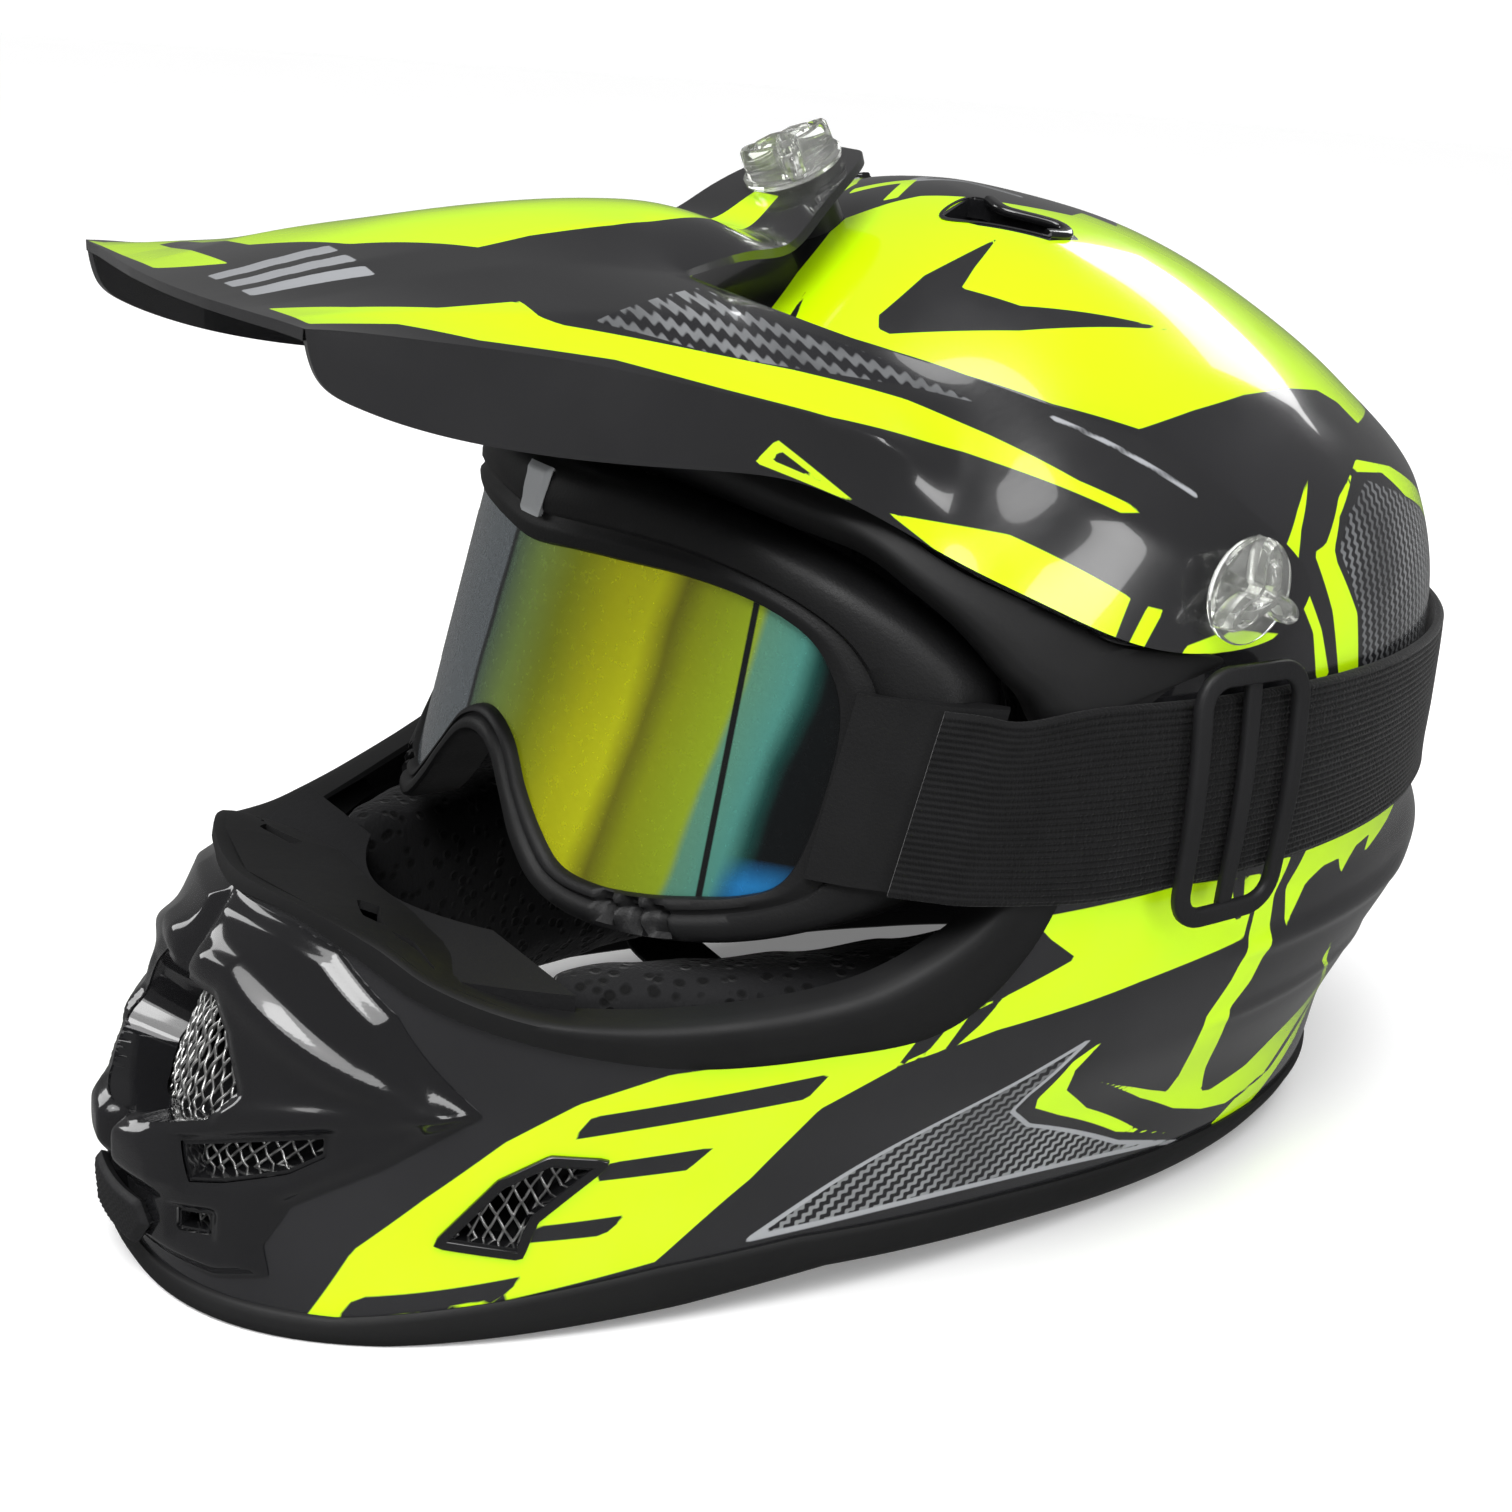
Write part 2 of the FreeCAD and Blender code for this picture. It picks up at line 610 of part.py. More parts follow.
frame_prism = front_prism(FRAME_OUTLINE, -200, -20)
lens_prism = front_prism(LENS_OUTLINE, -200, -20)
frame = goggle_slab(0, FRAME_DEPTH).common(frame_prism).cut(lens_prism)
export(frame, "goggle_frame")
export(goggle_slab(2.0, 3.4).common(lens_prism), "goggle_lens")
foam = goggle_slab(FRAME_DEPTH, FRAME_DEPTH + FOAM_DEPTH)
foam = foam.common(front_prism(FOAM_OUTLINE, -200, -20)).cut(lens_prism)
export(foam, "goggle_face_foam")
clip_outline = ((0, 185), (5, 185), (9, 176), (0, 174))
export(goggle_slab(-2.0, 0).common(front_prism(clip_outline, -200, -20)), "goggle_top_clip")


def frame_y(x, offset):
    return goggle_y(x) - GOGGLE_LEAN * (GOGGLE_Z - 110) + offset


# The outrigger lies on the frame's side and carries a slot for the strap.
outrigger_plan = [(88, frame_y(88, 0)), (96, frame_y(96, 0)), (103.2, frame_y(103.2, 0)),
                  (103.4, frame_y(103.4, 4)), (108.5, frame_y(108.5, 3)),
                  (110.5, frame_y(110.5, -1)), (104, frame_y(104, -4)), (96, frame_y(96, -4)),
                  (88, frame_y(88, -2.5))]
outrigger = plan_prism(outrigger_plan, 110, 152, GOGGLE_LEAN)
outrigger = outrigger.cut(goggle_slab(0, FRAME_DEPTH).common(frame_prism))
outrigger = outrigger.cut(block(104.4, 107.2, -120, -40, 114, 149))
for label, sign in SIDES:
    export(side_of(outrigger, sign), "goggle_outrigger_" + label)

strap = layer(-STRAP_OUT, -STRAP_IN).common(block(-150, 150, -58, 170, 110, 151))
lead_path = ((109.6, -77.2), (118.4, -71.5), (120.2, -56.5))
lead = plan_prism(ribbon(lead_path, 2.2), 111, 150, GOGGLE_LEAN)
lead = lead.cut(body(-STRAP_IN))
strap = strap.fuse([lead, mirrored(lead)])
export(strap, "goggle_strap")

buckle = layer(-BUCKLE_OUT, -BUCKLE_IN).common(block(60, 150, -27, 3, 102, 157.5))
buckle = buckle.cut(block(60, 150, -21, -14.5, 112, 149)).cut(block(60, 150, -9.5, -3, 112, 149))
rails = layer(-BUCKLE_IN, -STRAP_IN).common(block(60, 150, -27, 3, 102, 157.5))
rails = rails.cut(block(60, 150, -60, 60, 109.2, 151.8))
buckle = buckle.fuse(rails)
for label, sign in SIDES:
    export(side_of(buckle, sign), "strap_buckle_" + label)

# ---------------------------------------------------------------- chin strap

STRAP_Y0 = -41.0
STRAP_Y1 = -17.0


def webbing(points, thickness, y0, y1):
    outline = ribbon(points, thickness)
    verts = [vec(x, y0, z) for x, z in outline]
    return Part.Face(Part.makePolygon(verts + verts[:1])).extrude(vec(0, y1 - y0, 0))


side_run = layer(13.0, 14.8).common(block(40, 120, STRAP_Y0, STRAP_Y1, 12, 58)).cut(rivet)
left_path = ((84.5, 12.6), (80, 9.6), (70, 8.4), (45, 7.4), (20, 7.0))
left_strap = webbing(left_path, 1.8, STRAP_Y0, STRAP_Y1).fuse(side_run)
export(left_strap, "chin_strap_left")
right_path = ((-84.5, 12.6), (-80, 9.6), (-70, 8.4), (-45, 7.4), (-26, 7.0))
right_strap = webbing(right_path, 1.8, STRAP_Y0, STRAP_Y1).fuse(mirrored(side_run))
export(right_strap, "chin_strap_right")

anchor = layer(11.7, 12.9).common(block(40, 120, STRAP_Y0 - 2, STRAP_Y1 + 2, 40, 62))
anchor_plate = anchor.cut(rivet)
export(group([anchor_plate, mirrored(anchor_plate)]), "strap_anchor_plates")
export(group([rivet, mirrored(rivet)]), "strap_rivets")

# Ratchet buckle: a base on the right strap, a toothed tongue on the left, a release lever.
base_y0 = -43.0
base_y1 = -15.0
base = block(-27, 22, base_y0, base_y1, 1.6, 3.4)
base = base.fuse([block(-27, 22, base_y0, base_y0 + 1.6, 3.4, 13.6),
                  block(-27, 22, base_y1 - 1.6, base_y1, 3.4, 13.6)])
base = base.fuse(block(-27, -23, base_y0, base_y1, 3.4, 6.0))
pin_hole = Part.makeCylinder(1.5, 60, vec(-8, -60, 11), vec(0, 1, 0))
base = base.cut(pin_hole)
export(base, "strap_buckle_base")
export(Part.makeCylinder(1.5, base_y1 - base_y0, vec(-8, base_y0, 11), vec(0, 1, 0)),
       "strap_buckle_pin")
lever = block(-11, 20, base_y0 + 2.2, base_y1 - 2.2, 9.6, 12.2)
lever = lever.fuse(Part.makeCylinder(3.2, base_y1 - base_y0 - 4.4, vec(-8, base_y0 + 2.2, 11),
                                     vec(0, 1, 0)))
lever = lever.cut(Part.makeCylinder(1.8, 60, vec(-8, -60, 11), vec(0, 1, 0)))
export(lever, "strap_buckle_lever")

# Toothed tongue on the end of the left strap, lying in the base.
tongue = block(-20, 44, -37, -21, 3.8, 5.2)
teeth = []
for i in range(12):
    teeth.append(block(-18 + 3 * i, -16.6 + 3 * i, -35, -23, 5.2, 5.9))
export(tongue.fuse(teeth), "strap_buckle_tongue")
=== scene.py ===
import json
import math

import bmesh
import bpy
import numpy as np
from mathutils import Matrix, Vector

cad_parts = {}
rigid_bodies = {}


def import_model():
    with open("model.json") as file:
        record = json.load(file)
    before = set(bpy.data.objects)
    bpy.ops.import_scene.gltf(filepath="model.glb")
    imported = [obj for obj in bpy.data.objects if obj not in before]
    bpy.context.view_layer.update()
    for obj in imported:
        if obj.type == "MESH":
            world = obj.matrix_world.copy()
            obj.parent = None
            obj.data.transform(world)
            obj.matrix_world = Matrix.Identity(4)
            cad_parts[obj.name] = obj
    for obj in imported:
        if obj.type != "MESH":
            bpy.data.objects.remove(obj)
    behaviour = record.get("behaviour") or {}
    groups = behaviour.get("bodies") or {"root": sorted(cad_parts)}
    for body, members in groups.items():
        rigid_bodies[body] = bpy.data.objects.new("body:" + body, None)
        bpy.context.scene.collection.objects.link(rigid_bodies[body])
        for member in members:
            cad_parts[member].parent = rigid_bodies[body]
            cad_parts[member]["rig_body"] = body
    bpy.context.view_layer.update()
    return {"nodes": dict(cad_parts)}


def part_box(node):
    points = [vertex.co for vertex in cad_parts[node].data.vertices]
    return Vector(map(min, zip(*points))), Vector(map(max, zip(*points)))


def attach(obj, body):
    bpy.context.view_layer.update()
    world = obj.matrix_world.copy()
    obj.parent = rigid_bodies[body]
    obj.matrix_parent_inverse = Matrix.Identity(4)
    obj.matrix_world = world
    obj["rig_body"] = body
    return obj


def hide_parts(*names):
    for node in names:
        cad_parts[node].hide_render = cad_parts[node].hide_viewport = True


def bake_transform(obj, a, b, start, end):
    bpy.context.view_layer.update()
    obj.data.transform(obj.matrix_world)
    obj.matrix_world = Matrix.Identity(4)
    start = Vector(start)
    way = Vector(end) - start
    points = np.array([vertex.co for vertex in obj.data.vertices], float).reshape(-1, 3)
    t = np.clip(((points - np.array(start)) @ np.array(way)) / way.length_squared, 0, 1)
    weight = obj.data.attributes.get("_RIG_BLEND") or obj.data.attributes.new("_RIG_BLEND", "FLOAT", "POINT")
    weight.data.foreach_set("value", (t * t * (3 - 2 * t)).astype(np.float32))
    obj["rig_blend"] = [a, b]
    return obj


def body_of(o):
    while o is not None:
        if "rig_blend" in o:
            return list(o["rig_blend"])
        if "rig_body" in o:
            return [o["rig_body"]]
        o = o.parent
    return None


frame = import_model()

# Motocross helmet with peak, goggles and strap. Shapes are worked out in millimetres in the
# helmet's own head frame, where y = 0 is near the ears, and moved to the CAD frame when a
# piece is made: +X is the wearer's left, -Y the front, +Z up.

PIN_Y = -29.0                       # where the head frame has the middle of the buckle pin
pin_low, pin_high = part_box("strap_buckle_pin")
HEAD_Y = (pin_low[1] + pin_high[1]) / 2 * 1000 - PIN_Y
CENTRE = np.array([0.0, -14.0, 110.0])
APEX = 252.6
PIVOT = np.array([0.0, -17.0, 178.0])
TONGUE_R = 86.0
TOP_ANGLE = math.radians(28.5)

# Horizontal sections of the shell's outer surface:
# height, front y, rear y, half width, y of the widest point, front and rear roundness.
SECTIONS = (
    (0, -227, 134, 90, -22, 2.5, 2.2),
    (12, -227, 136, 97, -18, 2.15, 2.2),
    (35, -228, 136, 103, -18, 1.9, 2.2),
    (60, -220, 142, 114, -22, 1.72, 2.2),
    (85, -205, 156, 120, -23, 1.8, 2.2),
    (105, -193, 143, 121, -22, 1.95, 2.2),
    (130, -172, 136, 122, -12, 2.1, 2.2),
    (160, -145, 133, 120, -6, 2.2, 2.2),
    (185, -122, 123, 115, -5, 2.2, 2.2),
    (210, -96, 97, 98, -6, 2.1, 2.1),
    (230, -70, 67, 75, -9, 2.0, 2.0),
    (244, -45, 36, 47, -14, 2.0, 2.0),
    (251, -26, 4, 18, -17, 2.0, 2.0),
    (APEX, -13, -13, 0, -13, 2.0, 2.0),
)

# ------------------------------------------------------------------ the shell as a surface


def section_slopes(s, values):
    """Slopes of a smooth curve through the rows that never overshoots them."""
    step = np.diff(s)[:, None]
    rise = np.diff(values, axis=0) / step
    slopes = np.zeros_like(values)
    w1 = 2 * step[1:] + step[:-1]
    w2 = step[1:] + 2 * step[:-1]
    same = rise[:-1] * rise[1:] > 0
    safe = np.where(same, rise[:-1], 1.0), np.where(same, rise[1:], 1.0)
    inner = (w1 + w2) / (w1 / safe[0] + w2 / safe[1])
    slopes[1:-1] = np.where(same, inner, 0.0)
    slopes[0] = rise[0]
    slopes[-1] = rise[-1]
    return slopes


ROWS = np.array(SECTIONS[::-1], float)
ROW_S = np.sqrt(APEX - ROWS[:, 0])
ROW_V = ROWS[:, 1:]
ROW_D = section_slopes(ROW_S, ROW_V)


def section_at(z):
    """Front y, rear y, half width, widest y and both roundnesses at heights z."""
    s = np.clip(np.sqrt(np.maximum(APEX - z, 0.0)), 0, ROW_S[-1])
    i = np.clip(np.searchsorted(ROW_S, s) - 1, 0, len(ROW_S) - 2)
    h = ROW_S[i + 1] - ROW_S[i]
    t = ((s - ROW_S[i]) / h)[:, None]
    h = h[:, None]
    value = ((1 + 2 * t) * (1 - t) ** 2 * ROW_V[i] + t * (1 - t) ** 2 * h * ROW_D[i]
             + t * t * (3 - 2 * t) * ROW_V[i + 1] + t * t * (t - 1) * h * ROW_D[i + 1])
    return value.T


def level(points):
    """Negative inside the shell, positive outside."""
    z = points[:, 2]
    front, rear, half, widest, n_front, n_rear = section_at(z)
    y = points[:, 1]
    ahead = y < widest
    n = np.where(ahead, n_front, n_rear)
    length = np.maximum(np.where(ahead, widest - front, rear - widest), 0.01)
    across = np.abs(points[:, 0]) / np.maximum(half, 0.01)
    value = across ** n + (np.abs(y - widest) / length) ** n - 1
    return np.where(z >= APEX, 1.0, value)


def unit(v):
    return v / np.linalg.norm(v, axis=-1, keepdims=True)


def out_to_shell(start, rays, near, far):
    """Where rays from inside the shell meet it, found by halving between two reaches."""
    near = np.full(len(rays), near)
    far = np.full(len(rays), far)
    for _ in range(24):
        middle = (near + far) / 2
        inside = level(start + rays * middle[:, None]) < 0
        near = np.where(inside, middle, near)
        far = np.where(inside, far, middle)
    return start + rays * near[:, None]


def cast(rays):
    """Where rays from the middle of the head meet the shell."""
    return out_to_shell(CENTRE, rays, 20.0, 330.0)


def ring_points(turns, heights):
    """Points of the shell at level heights, seen from its middle line, and the rays to them."""
    rays = np.stack([np.sin(turns), -np.cos(turns), np.zeros_like(turns)], 1)
    start = np.stack([np.zeros_like(turns), np.full_like(turns, CENTRE[1]), heights], 1)
    return out_to_shell(start, rays, 10.0, 300.0), rays


def shell_normals(points):
    """Outward normals of the shell, from nearby points across and up it."""
    rays = unit(points - CENTRE)
    axis = np.where(np.abs(rays[:, 2:]) > 0.95, [[1.0, 0, 0]], [[0, 0, 1.0]])
    side = unit(np.cross(rays, axis))
    up = np.cross(side, rays)
    reach = 0.012
    a = cast(unit(rays + side * reach)) - cast(unit(rays - side * reach))
    b = cast(unit(rays + up * reach)) - cast(unit(rays - up * reach))
    return unit(np.cross(b, a))


def on_shell(points, lift=0.0):
    """The points moved along their rays onto the shell, then out by the lift."""
    points = np.asarray(points, float)
    hit = cast(unit(points - CENTRE))
    if np.any(np.asarray(lift) != 0):
        hit = hit + shell_normals(hit) * np.asarray(lift).reshape(-1, 1)
    return hit


def shell_x(y, z):
    """Half width of the shell at places of the side view, 0 beyond its outline."""
    y = np.asarray(y, float)
    z = np.asarray(z, float)
    front, rear, half, widest, n_front, n_rear = section_at(z)
    ahead = y < widest
    n = np.where(ahead, n_front, n_rear)
    length = np.where(ahead, widest - front, rear - widest)
    part = np.minimum(np.abs(y - widest) / length, 1.0)
    return half * (1 - part ** n) ** (1 / n)


def front_y(x, z):
    """y of the shell's front at places of the front view."""
    x = np.asarray(x, float)
    front, _, half, widest, n_front, _ = section_at(np.asarray(z, float))
    part = np.minimum(np.abs(x) / half, 1.0)
    return widest - (widest - front) * (1 - part ** n_front) ** (1 / n_front)


CHART_R = 125.0


def left_half(points):
    """The points, with those on the wearer's right mirrored to the left."""
    return np.abs(points) * [1, 0, 0] + points * [0, 1, 1]


def side_chart(points):
    """Flat map of the shell's left half: angles about the middle of the head, in mm."""
    rays = np.asarray(points, float) - CENTRE
    reach = np.linalg.norm(rays, axis=1)
    turn = np.arccos(np.clip(rays[:, 0] / reach, -1, 1))
    flat = np.maximum(np.hypot(rays[:, 1], rays[:, 2]), 1e-9)
    return np.stack([rays[:, 1] / flat, rays[:, 2] / flat], 1) * turn[:, None] * CHART_R


def distance(places, outline):
    """Signed distance of places in a flat chart from a closed outline, negative inside."""
    outline = np.asarray(outline, float)
    best = np.full(len(places), 1e12)
    inside = np.zeros(len(places), bool)
    x, y = places[:, 0], places[:, 1]
    for a, b in zip(outline, np.roll(outline, -1, axis=0)):
        edge = b - a
        size = max(edge @ edge, 1e-9)
        t = np.clip(((x - a[0]) * edge[0] + (y - a[1]) * edge[1]) / size, 0, 1)
        gap = (x - a[0] - t * edge[0]) ** 2 + (y - a[1] - t * edge[1]) ** 2
        best = np.minimum(best, gap)
        if a[1] != b[1]:
            crosses = (a[1] > y) != (b[1] > y)
            at = a[0] + (y - a[1]) / (b[1] - a[1]) * (b[0] - a[0])
            inside ^= crosses & (x < at)
    return np.where(inside, -1, 1) * np.sqrt(best)


def smooth_step(value, low, high):
    """0 below low, 1 above high, and smooth between them."""
    t = np.clip((value - low) / (high - low), 0, 1)
    return t * t * (3 - 2 * t)


def smooth_runs(p, per_run):
    """A smooth curve through all but the outer two points, with per_run points to a run."""
    t = np.linspace(0, 1, per_run, endpoint=False)[:, None]
    runs = []
    for a, b, c, d in zip(p, p[1:], p[2:], p[3:]):
        runs.append(b + (c - a) / 2 * t + (a - 2.5 * b + 2 * c - d / 2) * t ** 2
                    + (1.5 * b - 1.5 * c + d / 2 - a / 2) * t ** 3)
    return np.vstack(runs + [p[-2:-1]])


def spline(points, count, closed=False):
    """Even points along a smooth curve through the given ones."""
    p = np.asarray(points, float)
    if closed:
        p = np.vstack([p[-1:], p, p[:2]])
    else:
        p = np.vstack([2 * p[:1] - p[1:2], p, 2 * p[-1:] - p[-2:-1]])
    return resample(smooth_runs(p, 16), count, closed)


def even_spline(points, per_run):
    """A smooth half curve that crosses the middle line squarely at both ends."""
    p = np.asarray(points, float)
    p = np.vstack([p[1:2] * [-1, 1, 1], p, p[-2:-1] * [-1, 1, 1]])
    return smooth_runs(p, per_run)


def resample(line, count, closed=False):
    """The same line with evenly spaced points."""
    line = np.asarray(line, float)
    gaps = np.linalg.norm(np.diff(line, axis=0), axis=1)
    along = np.concatenate([[0], np.cumsum(gaps)])
    wanted = np.linspace(0, along[-1], count, endpoint=not closed)
    return np.stack([np.interp(wanted, along, line[:, k]) for k in range(line.shape[1])], 1)


# ------------------------------------------------------------------ making meshes


def scene_points(points):
    """Head-frame millimetres as metres of the CAD frame."""
    moved = np.asarray(points, float).copy()
    moved[:, 1] += HEAD_Y
    return moved / 1000


def grid_faces(rows, cols, closed=False):
    """Quads of a grid of points; closed joins each row's ends."""
    ids = np.arange(rows * cols).reshape(rows, cols)
    near = ids if closed else ids[:, :-1]
    far = np.roll(ids, -1, axis=1) if closed else ids[:, 1:]
    return np.stack([near[:-1], far[:-1], far[1:], near[1:]], -1).reshape(-1, 4).tolist()


def sheet(rows, closed=False):
    """Rows of matching points as one surface."""
    grid = np.array(rows)
    return grid.reshape(-1, 3), grid_faces(grid.shape[0], grid.shape[1], closed)


def capped_faces(rows, around):
    """Quads of a tube of rings, with a face over each end."""
    faces = grid_faces(rows, around, True)
    faces.append(list(range(around))[::-1])
    faces.append(list(range((rows - 1) * around, rows * around)))
    return faces


def flat_grid(half_width, low, high, step):
    """A fine grid over the front view (x, z), with y = 0."""
    xs = np.arange(-half_width, half_width + 0.01, step)
    zs = np.arange(low, high, step)
    x, z = [g.ravel() for g in np.meshgrid(xs, zs)]
    return np.stack([x, np.zeros_like(x), z], 1), grid_faces(len(zs), len(xs))


def clip(points, faces, value):
    """Keeps the part of a mesh where value is positive, cutting its faces along zero."""
    keep = value > 0
    points = list(points)
    kept = []
    cuts = {}

    def crossing(a, b):
        key = (min(a, b), max(a, b))
        if key not in cuts:
            t = value[key[0]] / (value[key[0]] - value[key[1]])
            cuts[key] = len(points)
            points.append(points[key[0]] + (points[key[1]] - points[key[0]]) * t)
        return cuts[key]

    for face in faces:
        flags = [keep[i] for i in face]
        if all(flags):
            kept.append(face)
        elif any(flags):
            ring = []
            for a, b in zip(face, face[1:] + face[:1]):
                if keep[a]:
                    ring.append(a)
                if keep[a] != keep[b]:
                    ring.append(crossing(a, b))
            kept.append(ring)
    used = sorted({i for face in kept for i in face})
    place = {old: new for new, old in enumerate(used)}
    kept = [[place[i] for i in face] for face in kept]
    return np.array([points[i] for i in used]), kept


MERGE_GAP = 0.00002                 # points closer than this many metres become one
FAR_OUTSIDE = 50.0                  # a distance from a graphic that leaves it unpainted
SIDES = (("left", 1), ("right", -1))


def add_object(name, data):
    """A new object in the scene."""
    made = bpy.data.objects.new(name, data)
    bpy.context.scene.collection.objects.link(made)
    return made


def apply_modifiers(piece):
    """Bakes a piece's modifiers into its mesh."""
    ready = piece.evaluated_get(bpy.context.evaluated_depsgraph_get())
    baked = bpy.data.meshes.new_from_object(ready)
    piece.modifiers.clear()
    piece.data = baked


def subdivide(piece, levels):
    """Smooths a piece by splitting its faces."""
    smooth = piece.modifiers.new("smooth", "SUBSURF")
    smooth.levels = levels
    smooth.render_levels = levels
    apply_modifiers(piece)


def dress(piece, material, body, node):
    """Gives a piece its material and slot, its body and the CAD node that it stands for.
    """
    piece.data.polygons.foreach_set("use_smooth", [True] * len(piece.data.polygons))
    piece.data.materials.clear()
    piece.data.materials.append(material)
    if body:
        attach(piece, body)
    if node:
        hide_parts(node)
    material.name.split(".")[0]


def thicken(piece, thickness):
    """Gives a surface a wall of this thickness, on its inner side."""
    wall = piece.modifiers.new("wall", "SOLIDIFY")
    wall.thickness = thickness / 1000
    wall.offset = -1
    wall.use_even_offset = True


def mesh_points(piece):
    """A piece's vertices in the head frame, in millimetres."""
    flat = np.empty(len(piece.data.vertices) * 3)
    piece.data.vertices.foreach_get("co", flat)
    points = flat.reshape(-1, 3) * 1000
    points[:, 1] -= HEAD_Y
    return points


def leave_inside_plain(piece, outside, wall):
    """Keep the painted graphics off the inner face of a wall."""
    points = mesh_points(piece)
    if len(points) != 2 * len(outside):
        return
    moved = np.linalg.norm(points - np.vstack([outside, outside]), axis=1) > wall / 2
    for field in ("yellow", "carbon", "silver"):
        store = piece.data.attributes.get(field)
        if store:
            values = np.empty(len(points), np.float32)
            store.data.foreach_get("value", values)
            values[moved] = FAR_OUTSIDE
            store.data.foreach_set("value", values)


def make_piece(name, shape, material, body, node=None, wall=0.0, levels=0, sharp=40,
               fields=None, creases=None):
    """One mesh piece from a head-frame shape (points, faces), riding on its body.

    It stands for the CAD node, if one is given. wall thickens it, levels smooths it, fields
    gives the values its paint reads, creases the sharpness of its edges while it is smoothed,
    and sharp the angle in degrees above which an edge is shaded as an edge.
    """
    points, faces = shape
    mesh = bpy.data.meshes.new(name)
    mesh.from_pydata(scene_points(points).tolist(), [], [list(f) for f in faces])
    piece = add_object(name, mesh)
    work = bmesh.new()
    work.from_mesh(mesh)
    bmesh.ops.remove_doubles(work, verts=work.verts, dist=MERGE_GAP)
    bmesh.ops.recalc_face_normals(work, faces=work.faces)
    if wall:
        middle = Vector(scene_points(CENTRE[None])[0])
        total = 0.0
        for face in work.faces:
            total += face.normal.dot(face.calc_center_median() - middle) * face.calc_area()
        if total < 0:
            bmesh.ops.reverse_faces(work, faces=work.faces)
    if creases:
        layer = work.edges.layers.float.new("crease_edge")
        for line in work.edges:
            line[layer] = creases(line)
    work.to_mesh(mesh)
    work.free()
    if levels:
        subdivide(piece, levels)
    if fields:
        for field, values in fields(mesh_points(piece)).items():
            store = piece.data.attributes.new(field, "FLOAT", "POINT")
            store.data.foreach_set("value", np.asarray(values, np.float32))
    if wall:
        outside = mesh_points(piece)
        thicken(piece, wall)
        apply_modifiers(piece)
        leave_inside_plain(piece, outside, wall)
    dress(piece, material, body, node)
    if sharp:
        piece.data.set_sharp_from_angle(angle=math.radians(sharp))
    return piece


def flipped(points):
    """The same points on the wearer's other side."""
    return np.asarray(points) * [-1, 1, 1]


def joined(parts):
    """Several (points, faces) shapes as one."""
    points = []
    faces = []
    count = 0
    for shape, rings in parts:
        points.append(np.asarray(shape))
        faces += [[i + count for i in ring] for ring in rings]
        count += len(shape)
    return np.vstack(points), faces


def on_side(shape, sign):
    """A left-hand shape, or its mirror image where sign is -1."""
    return shape[0] * [sign, 1, 1], shape[1]


def both_sides(shape):
    """A left-hand shape and its mirror image as one."""
    points, faces = shape
    return joined([shape, (flipped(points), faces)])


def tube(path, normals, section, closed=False):
    """Sweeps a closed section (pairs: across, out) along a path with its outward normals."""
    path = np.asarray(path, float)
    normals = unit(np.asarray(normals, float))
    if closed:
        ahead = np.roll(path, -1, axis=0) - np.roll(path, 1, axis=0)
    else:
        ahead = np.gradient(path, axis=0)
    across = unit(np.cross(ahead, normals))
    section = np.asarray(section, float)
    rows = []
    for offset, out in section:
        rows.append(path + across * offset + normals * out)
    grid = np.stack(rows, 1)
    if closed:
        return sheet(np.concatenate([grid, grid[:1]]), True)
    return grid.reshape(-1, 3), capped_faces(*grid.shape[:2])


def rounded(width, height, corner, steps=4):
    """Section of a flat bar with rounded corners, centred on the path."""
    section = []
    for cx, cy, start in ((1, 1, 0), (-1, 1, 90), (-1, -1, 180), (1, -1, 270)):
        for k in range(steps + 1):
            angle = math.radians(start + 90 * k / steps)
            section.append((cx * (width / 2 - corner) + corner * math.cos(angle),
                            cy * (height / 2 - corner) + corner * math.sin(angle)))
    return section


def round_section(radius, sides):
    """Section of a wire."""
    turns = [2 * math.pi * k / sides for k in range(sides)]
    return [(radius * math.cos(a), radius * math.sin(a)) for a in turns]


# ------------------------------------------------------------------ materials


